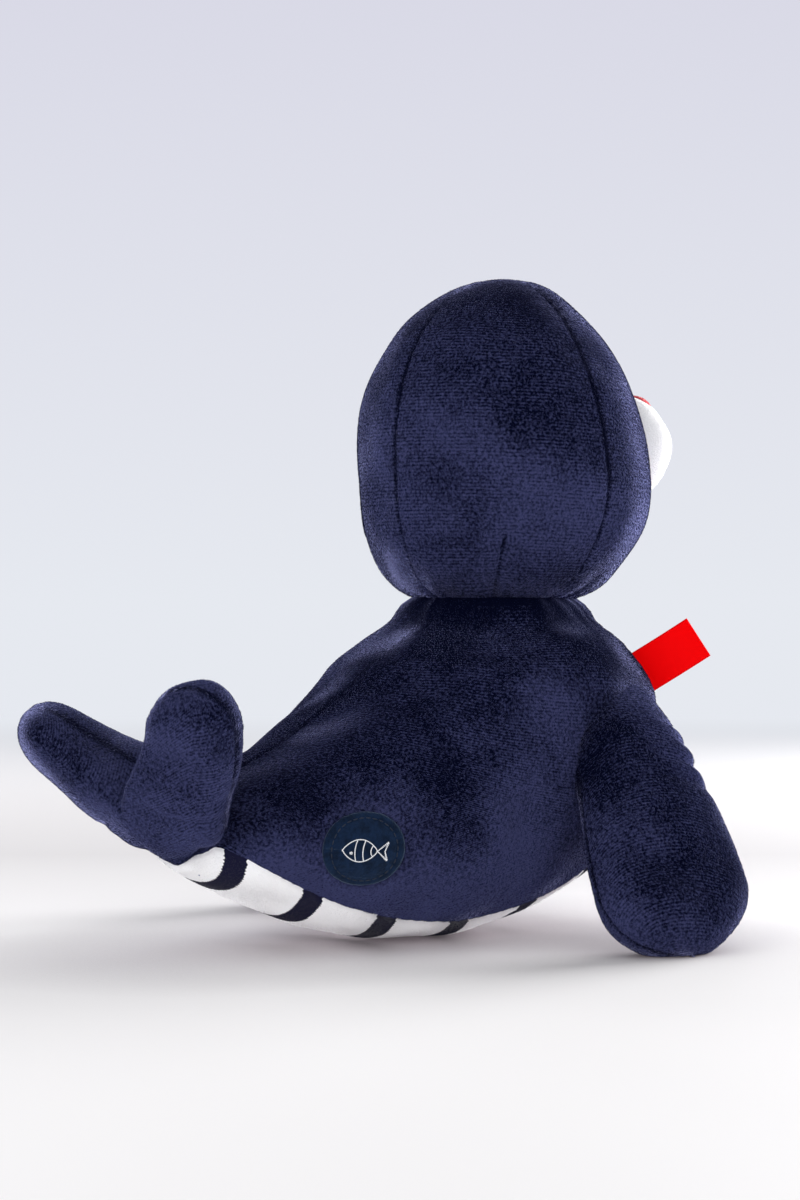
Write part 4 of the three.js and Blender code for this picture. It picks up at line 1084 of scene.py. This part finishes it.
def stitchTree():  # thread stitches laid end to end along lines
    tree, source, result = newGroup(
        "stitches", "GeometryNodeTree",
        [("lines", "NodeSocketGeometry"), ("pitch", "NodeSocketFloat"), ("stitchLength", "NodeSocketFloat"),
         ("threadRadius", "NodeSocketFloat"), ("finish", "NodeSocketMaterial")],
        [("lines", "NodeSocketGeometry")])
    given = source.outputs
    curve = addNode(tree, "GeometryNodeMeshToCurve", {"Mesh": given["lines"]}).outputs[0]
    points = addNode(tree, "GeometryNodeCurveToPoints", {
        "Curve": curve, "Length": given["pitch"]}, mode="LENGTH").outputs
    ball = addNode(tree, "GeometryNodeMeshUVSphere", {"Segments": 8, "Rings": 6, "Radius": 1.0})
    half = calc(tree, "MULTIPLY", given["stitchLength"], 0.5)
    size = addNode(tree, "ShaderNodeCombineXYZ", {
        "X": given["threadRadius"], "Y": given["threadRadius"], "Z": half}).outputs[0]
    turn = addNode(tree, "FunctionNodeAlignRotationToVector", {"Vector": points["Tangent"]}, axis="Z")
    laid = addNode(tree, "GeometryNodeInstanceOnPoints", {
        "Points": points["Points"], "Instance": ball.outputs["Mesh"], "Rotation": turn.outputs[0],
        "Scale": size}).outputs[0]
    real = addNode(tree, "GeometryNodeRealizeInstances", {0: laid}).outputs[0]
    smooth = addNode(tree, "GeometryNodeSetShadeSmooth", {0: real}).outputs[0]
    dressed = addNode(tree, "GeometryNodeSetMaterial", {"Geometry": smooth, "Material": given["finish"]})
    tree.links.new(dressed.outputs[0], result.inputs[0])
    return tree


stitchNodes = stitchTree()
fish = {"length": 15.0, "height": 7.0, "fullness": 0.75, "tail": 3.6, "tailSpread": 0.42, "tailNotch": 0.7,
        "bars": (-2.2, 0.4, 3.0), "barBow": 0.5, "barInset": 0.5, "eye": 4.6, "eyeRise": 0.8,
        "eyeRadius": 0.3}


def fishLines():  # outline of a small fish with three bars, drawn flat on the patch
    share = np.linspace(0, 1, 25)
    start, end = -fish["length"] / 2 + fish["tail"], fish["length"] / 2
    x = start + (end - start) * share
    half = fish["height"] / 2 * np.sin(math.pi * share) ** fish["fullness"]
    tailEnd, spread = start - fish["tail"], fish["height"] * fish["tailSpread"]
    notch = start - fish["tail"] * fish["tailNotch"]
    tail = np.array([(start, 0), (tailEnd, spread), (notch, 0), (tailEnd, -spread), (start, 0)])
    lines = [np.stack([x, half], axis=1), np.stack([x, -half], axis=1), tail]
    along = np.linspace(-1, 1, 7)
    for bar in fish["bars"]:
        tall = np.interp(bar, x, half) - fish["barInset"]
        lines.append(np.stack([bar + fish["barBow"] * (1 - along ** 2), tall * along], axis=1))
    dot = np.linspace(0, 2 * math.pi, 7)
    lines.append(np.stack([fish["eye"] + fish["eyeRadius"] * np.cos(dot),
                           fish["eyeRise"] + fish["eyeRadius"] * np.sin(dot)], axis=1))
    return lines


def stitchPiece(name, lines, height, settings, material):
    points, edges = [], []
    for line in lines:
        place, way = onBody(np.asarray(line))
        first = len(points)
        points += toFrame(place + way * height).tolist()
        edges += [(first + k, first + k + 1) for k in range(len(line) - 1)]
    mesh = bpy.data.meshes.new(name)
    mesh.from_pydata(points, edges, [])
    piece = bpy.data.objects.new(name, mesh)
    scene.collection.objects.link(piece)
    runTree(piece, stitchNodes, {**settings, "finish": material})
    return piece


ringStitch = {"pitch": 2.1 * mm, "stitchLength": 1.7 * mm, "threadRadius": 0.22 * mm}
fishStitch = {"pitch": 0.55 * mm, "stitchLength": 0.75 * mm, "threadRadius": 0.2 * mm}
stitchHeight = {"ring": 0.2, "fish": 0.55}  # mm above the body's cloth


def patchStitches():
    circle = np.linspace(0, 2 * math.pi, 73)
    ring = np.stack([np.cos(circle), np.sin(circle)], axis=1) * (patch["radius"] - patch["ringInset"])
    return (stitchPiece("patch_ring_stitches", [ring], stitchHeight["ring"], ringStitch, ringThread),
            stitchPiece("patch_fish_stitches", fishLines(), stitchHeight["fish"], fishStitch, whiteThread))


# Ribbon: a satin loop sewn into the seam

ribbon = {"section": 2.6, "width": 15, "length": 21.5, "sewnIn": 4, "gap": 0.35, "foldReach": 1.2, "bow": 1.3,
          "curl": 0.35, "twist": 1.2, "rows": 70, "columns": 26, "thickness": 0.3, "bendReach": 7}


def ribbonPiece():
    turn = -float(bodySection(np.array(ribbon["section"]))[5])
    along, out = bodyDirections(ribbon["section"], turn)
    root = bodyPoints(np.array(ribbon["section"]), np.array(turn))
    side = np.cross(along, out)
    reach = ribbon["length"] + ribbon["sewnIn"]
    share = np.linspace(-1, 1, ribbon["rows"])
    far = reach - np.abs(share) * reach
    apart = ribbon["gap"] * np.sign(share) * np.sqrt(np.clip((reach - far) / ribbon["foldReach"], 0, 1))
    width = ribbon["width"] * (np.linspace(0, 1, ribbon["columns"]) - 0.5)
    across = np.repeat(width[None, :], ribbon["rows"], axis=0)
    outward = np.repeat((far - ribbon["sewnIn"])[:, None], ribbon["columns"], axis=1)
    outShare = np.clip(outward / ribbon["length"], 0, 1)
    lift = (apart[:, None] + ribbon["bow"] * np.sin(math.pi * outShare)
            + ribbon["curl"] * (2 * across / ribbon["width"]) ** 2 * outShare
            + ribbon["twist"] * across / ribbon["width"] * outShare ** 2)
    grid = root + along * across[..., None] + out * outward[..., None] + side * lift[..., None]
    normal = unit(np.cross(np.gradient(grid, axis=0), np.gradient(grid, axis=1)))
    details = {"fill": np.zeros(across.shape), "nap": np.zeros(grid.shape), "course": across,
               "station": outward}
    piece = clothPanel("ribbon_satin", grid, normal, details, thickness=ribbon["thickness"])
    piece.data.materials.append(redSatin)
    return piece, root, out


bodyTree = bodyShape()
bodyCloth = bodyPieces()
print("body cloth and belly", {name: len(piece.data.polygons) for name, piece in bodyCloth.items()})
flipperCloth = flipperPieces(bodyTree)
print("flippers", sum(len(piece.data.polygons) for piece in flipperCloth.values()))
headCloth = headPieces()
print("head gores", sum(len(piece.data.polygons) for piece in headCloth.values()))
muzzleCloth, noseCloth = muzzlePiece(), nosePiece()
eyeStitches = {side: eyePiece(side) for side in ("left", "right")}
print("face", len(muzzleCloth.data.polygons), len(noseCloth.data.polygons))
patchFelt = patchPiece()
ringStitches, fishStitches = patchStitches()
print("patch", len(patchFelt.data.polygons), len(fishStitches.data.polygons))
ribbonSatin, ribbonRoot, ribbonOut = ribbonPiece()
print("ribbon", len(ribbonSatin.data.polygons))


# What each piece rides on and stands for

def declare(node, also=()):
    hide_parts(node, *also)


for node, piece in bodyCloth.items():
    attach(piece, "torso")
    if node == "belly_panel":
        declare(node, ["body_filling"])
    else:
        declare(node)
for limb in limbs:
    for part in ("outer", "inner"):
        piece = flipperCloth[f"{limb['name']}_{part}"]
        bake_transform(piece)
        also = [f"{limb['name']}_filling"] if part == "outer" else []
        declare(f"{limb['name']}_{part}", also)
for node, piece in headCloth.items():
    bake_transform(piece)
    also = ["head_filling", "neck_filling"] if node == "head_back_left" else []
    declare(node, also)
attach(muzzleCloth, "head")
declare("muzzle_cover", ["muzzle_filling"])
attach(noseCloth, "head")
declare("nose")
for side, piece in eyeStitches.items():
    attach(piece, "head")
    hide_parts(f"eye_{side}")
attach(patchFelt, "torso")
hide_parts("hip_patch")
for piece, slotName in ((ringStitches, "eye_thread"), (fishStitches, "white_pile")):
    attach(piece, "torso")
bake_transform(ribbonSatin)
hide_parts("ribbon_label")


# Camera at the photograph's place: level, behind and to the right of the seal

camera = {"azimuth": 228, "distance": 970, "height": 111, "headOffset": -35.6, "lens": 85, "sensor": 36,
          "clipEnd": 20}
azimuth = math.radians(camera["azimuth"])
back = np.array([math.sin(azimuth), -math.cos(azimuth), 0])
right = np.cross(-back, zAxis)


def makeCamera():
    data = bpy.data.cameras.new("camera")
    data.lens, data.sensor_width, data.clip_end = camera["lens"], camera["sensor"], camera["clipEnd"]
    made = bpy.data.objects.new("camera", data)
    place = right * camera["headOffset"] + back * camera["distance"] + zAxis * camera["height"]
    made.location = toFrame(place)
    made.rotation_euler = Vector(-back).to_track_quat("-Z", "Y").to_euler()
    scene.collection.objects.link(made)
    scene.camera = made


# Floor, backdrop and soft light

stage = {"floorRadius": 6.0, "floorSides": 96, "floorColor": rgb(0.68, 0.67, 0.675), "floorGlow": 0.22,
         "lampFrom": -0.05, "lampTo": 0.3, "lampColor": rgb(0.415, 0.405, 0.41),  # metres behind the seal
         "whiteTo": 0.45, "paleFrom": 1.8, "farColor": rgb(0.79, 0.815, 0.87),
         "shadeReach": 0.075, "shadeColor": rgb(0.24, 0.205, 0.225),
         "topColor": rgb(0.69, 0.69, 0.79), "topAt": 0.22, "levelLight": 0.9, "zenithLight": 0.25}


def makeFloor():
    turns = [2 * math.pi * k / stage["floorSides"] for k in range(stage["floorSides"])]
    radius = stage["floorRadius"]
    ring = [(math.cos(turn) * radius, math.sin(turn) * radius, 0) for turn in turns]
    mesh = bpy.data.meshes.new("floor")
    mesh.from_pydata(ring, [], [list(range(len(ring)))])
    floor = bpy.data.objects.new("floor", mesh)
    scene.collection.objects.link(floor)
    material, tree, shader = newMaterial("paleFloor", {
        "Roughness": 0.6, "Specular IOR Level": 0.25, "Emission Strength": stage["floorGlow"]})
    place = objectPlace(tree)
    away = addNode(tree, "ShaderNodeVectorMath", {0: place}, operation="LENGTH").outputs["Value"]
    share = mapped(tree, away, stage["whiteTo"], stage["paleFrom"], interpolation_type="SMOOTHSTEP")
    behind = addNode(tree, "ShaderNodeVectorMath", {0: place, 1: tuple(-back)}, operation="DOT_PRODUCT")
    nearLamps = mapped(tree, behind.outputs["Value"], stage["lampFrom"], stage["lampTo"])
    lit = mixColor(tree, nearLamps, stage["floorColor"], stage["lampColor"])  # painted shade: the floor is duller towards the side lamps, to even out their light
    # painted contact shadow: the floor darkens near the seal
    unshaded = addNode(tree, "ShaderNodeAmbientOcclusion", {"Distance": stage["shadeReach"]}, samples=8)
    tone = mixColor(tree, unshaded.outputs["AO"], stage["shadeColor"], lit)
    tree.links.new(tone, shader.inputs["Base Color"])
    tree.links.new(tone, shader.inputs["Emission Color"])  # the floor glows with this tone, painted light that keeps shadows soft
    glow = addNode(tree, "ShaderNodeEmission", {"Color": stage["farColor"]})
    mixed = addNode(tree, "ShaderNodeMixShader", {0: share, 1: shader.outputs[0], 2: glow.outputs[0]})
    tree.links.new(mixed.outputs[0], tree.nodes["Material Output"].inputs["Surface"])
    mesh.materials.append(material)


def makeSky():  # pale backdrop for the camera; the light itself is softer from above than from the sides
    world = bpy.data.worlds.new("studio")
    scene.world = world
    world.use_nodes = True
    tree = world.node_tree
    way = addNode(tree, "ShaderNodeTexCoord").outputs["Generated"]
    height = addNode(tree, "ShaderNodeSeparateXYZ", {0: way}).outputs["Z"]
    share = mapped(tree, height, 0.0, stage["topAt"])
    color = mixColor(tree, share, stage["farColor"], stage["topColor"])
    shown = addNode(tree, "ShaderNodeBackground", {"Color": color, "Strength": 1.0})
    strength = mapped(tree, height, 0.0, 1.0, stage["levelLight"], stage["zenithLight"])
    light = addNode(tree, "ShaderNodeBackground", {"Color": rgb(1.0, 1.0, 1.0), "Strength": strength})
    path = addNode(tree, "ShaderNodeLightPath").outputs
    seen = calc(tree, "MAXIMUM", path["Is Camera Ray"], path["Is Glossy Ray"])
    mixed = addNode(tree, "ShaderNodeMixShader", {0: seen, 1: light.outputs[0], 2: shown.outputs[0]})
    tree.links.new(mixed.outputs[0], tree.nodes["World Output"].inputs["Surface"])


lampTarget = np.array([0, 20, 100])
lamps = {  # mm from the target, size in metres, power in watts
    "front": {"right": -100, "back": 1500, "up": 150, "size": 1.4, "power": 14.0},
    "leftSide": {"right": -1050, "back": -800, "up": 0, "size": 0.9, "power": 40.0},
    "rightSide": {"right": 1000, "back": -850, "up": 0, "size": 0.9, "power": 96.0},
}


def makeLamps():
    for name, lamp in lamps.items():
        data = bpy.data.lights.new(name, "AREA")
        data.size, data.energy = lamp["size"], lamp["power"]
        place = lampTarget + right * lamp["right"] + back * lamp["back"] + zAxis * lamp["up"]
        made = bpy.data.objects.new(name, data)
        made.location = toFrame(place)
        made.visible_camera = False
        made.rotation_euler = Vector(lampTarget - place).to_track_quat("-Z", "Y").to_euler()
        scene.collection.objects.link(made)


makeCamera()
makeFloor()
makeSky()
makeLamps()
scene.view_settings.view_transform = "Standard"
print("camera, floor, sky and lamps set")
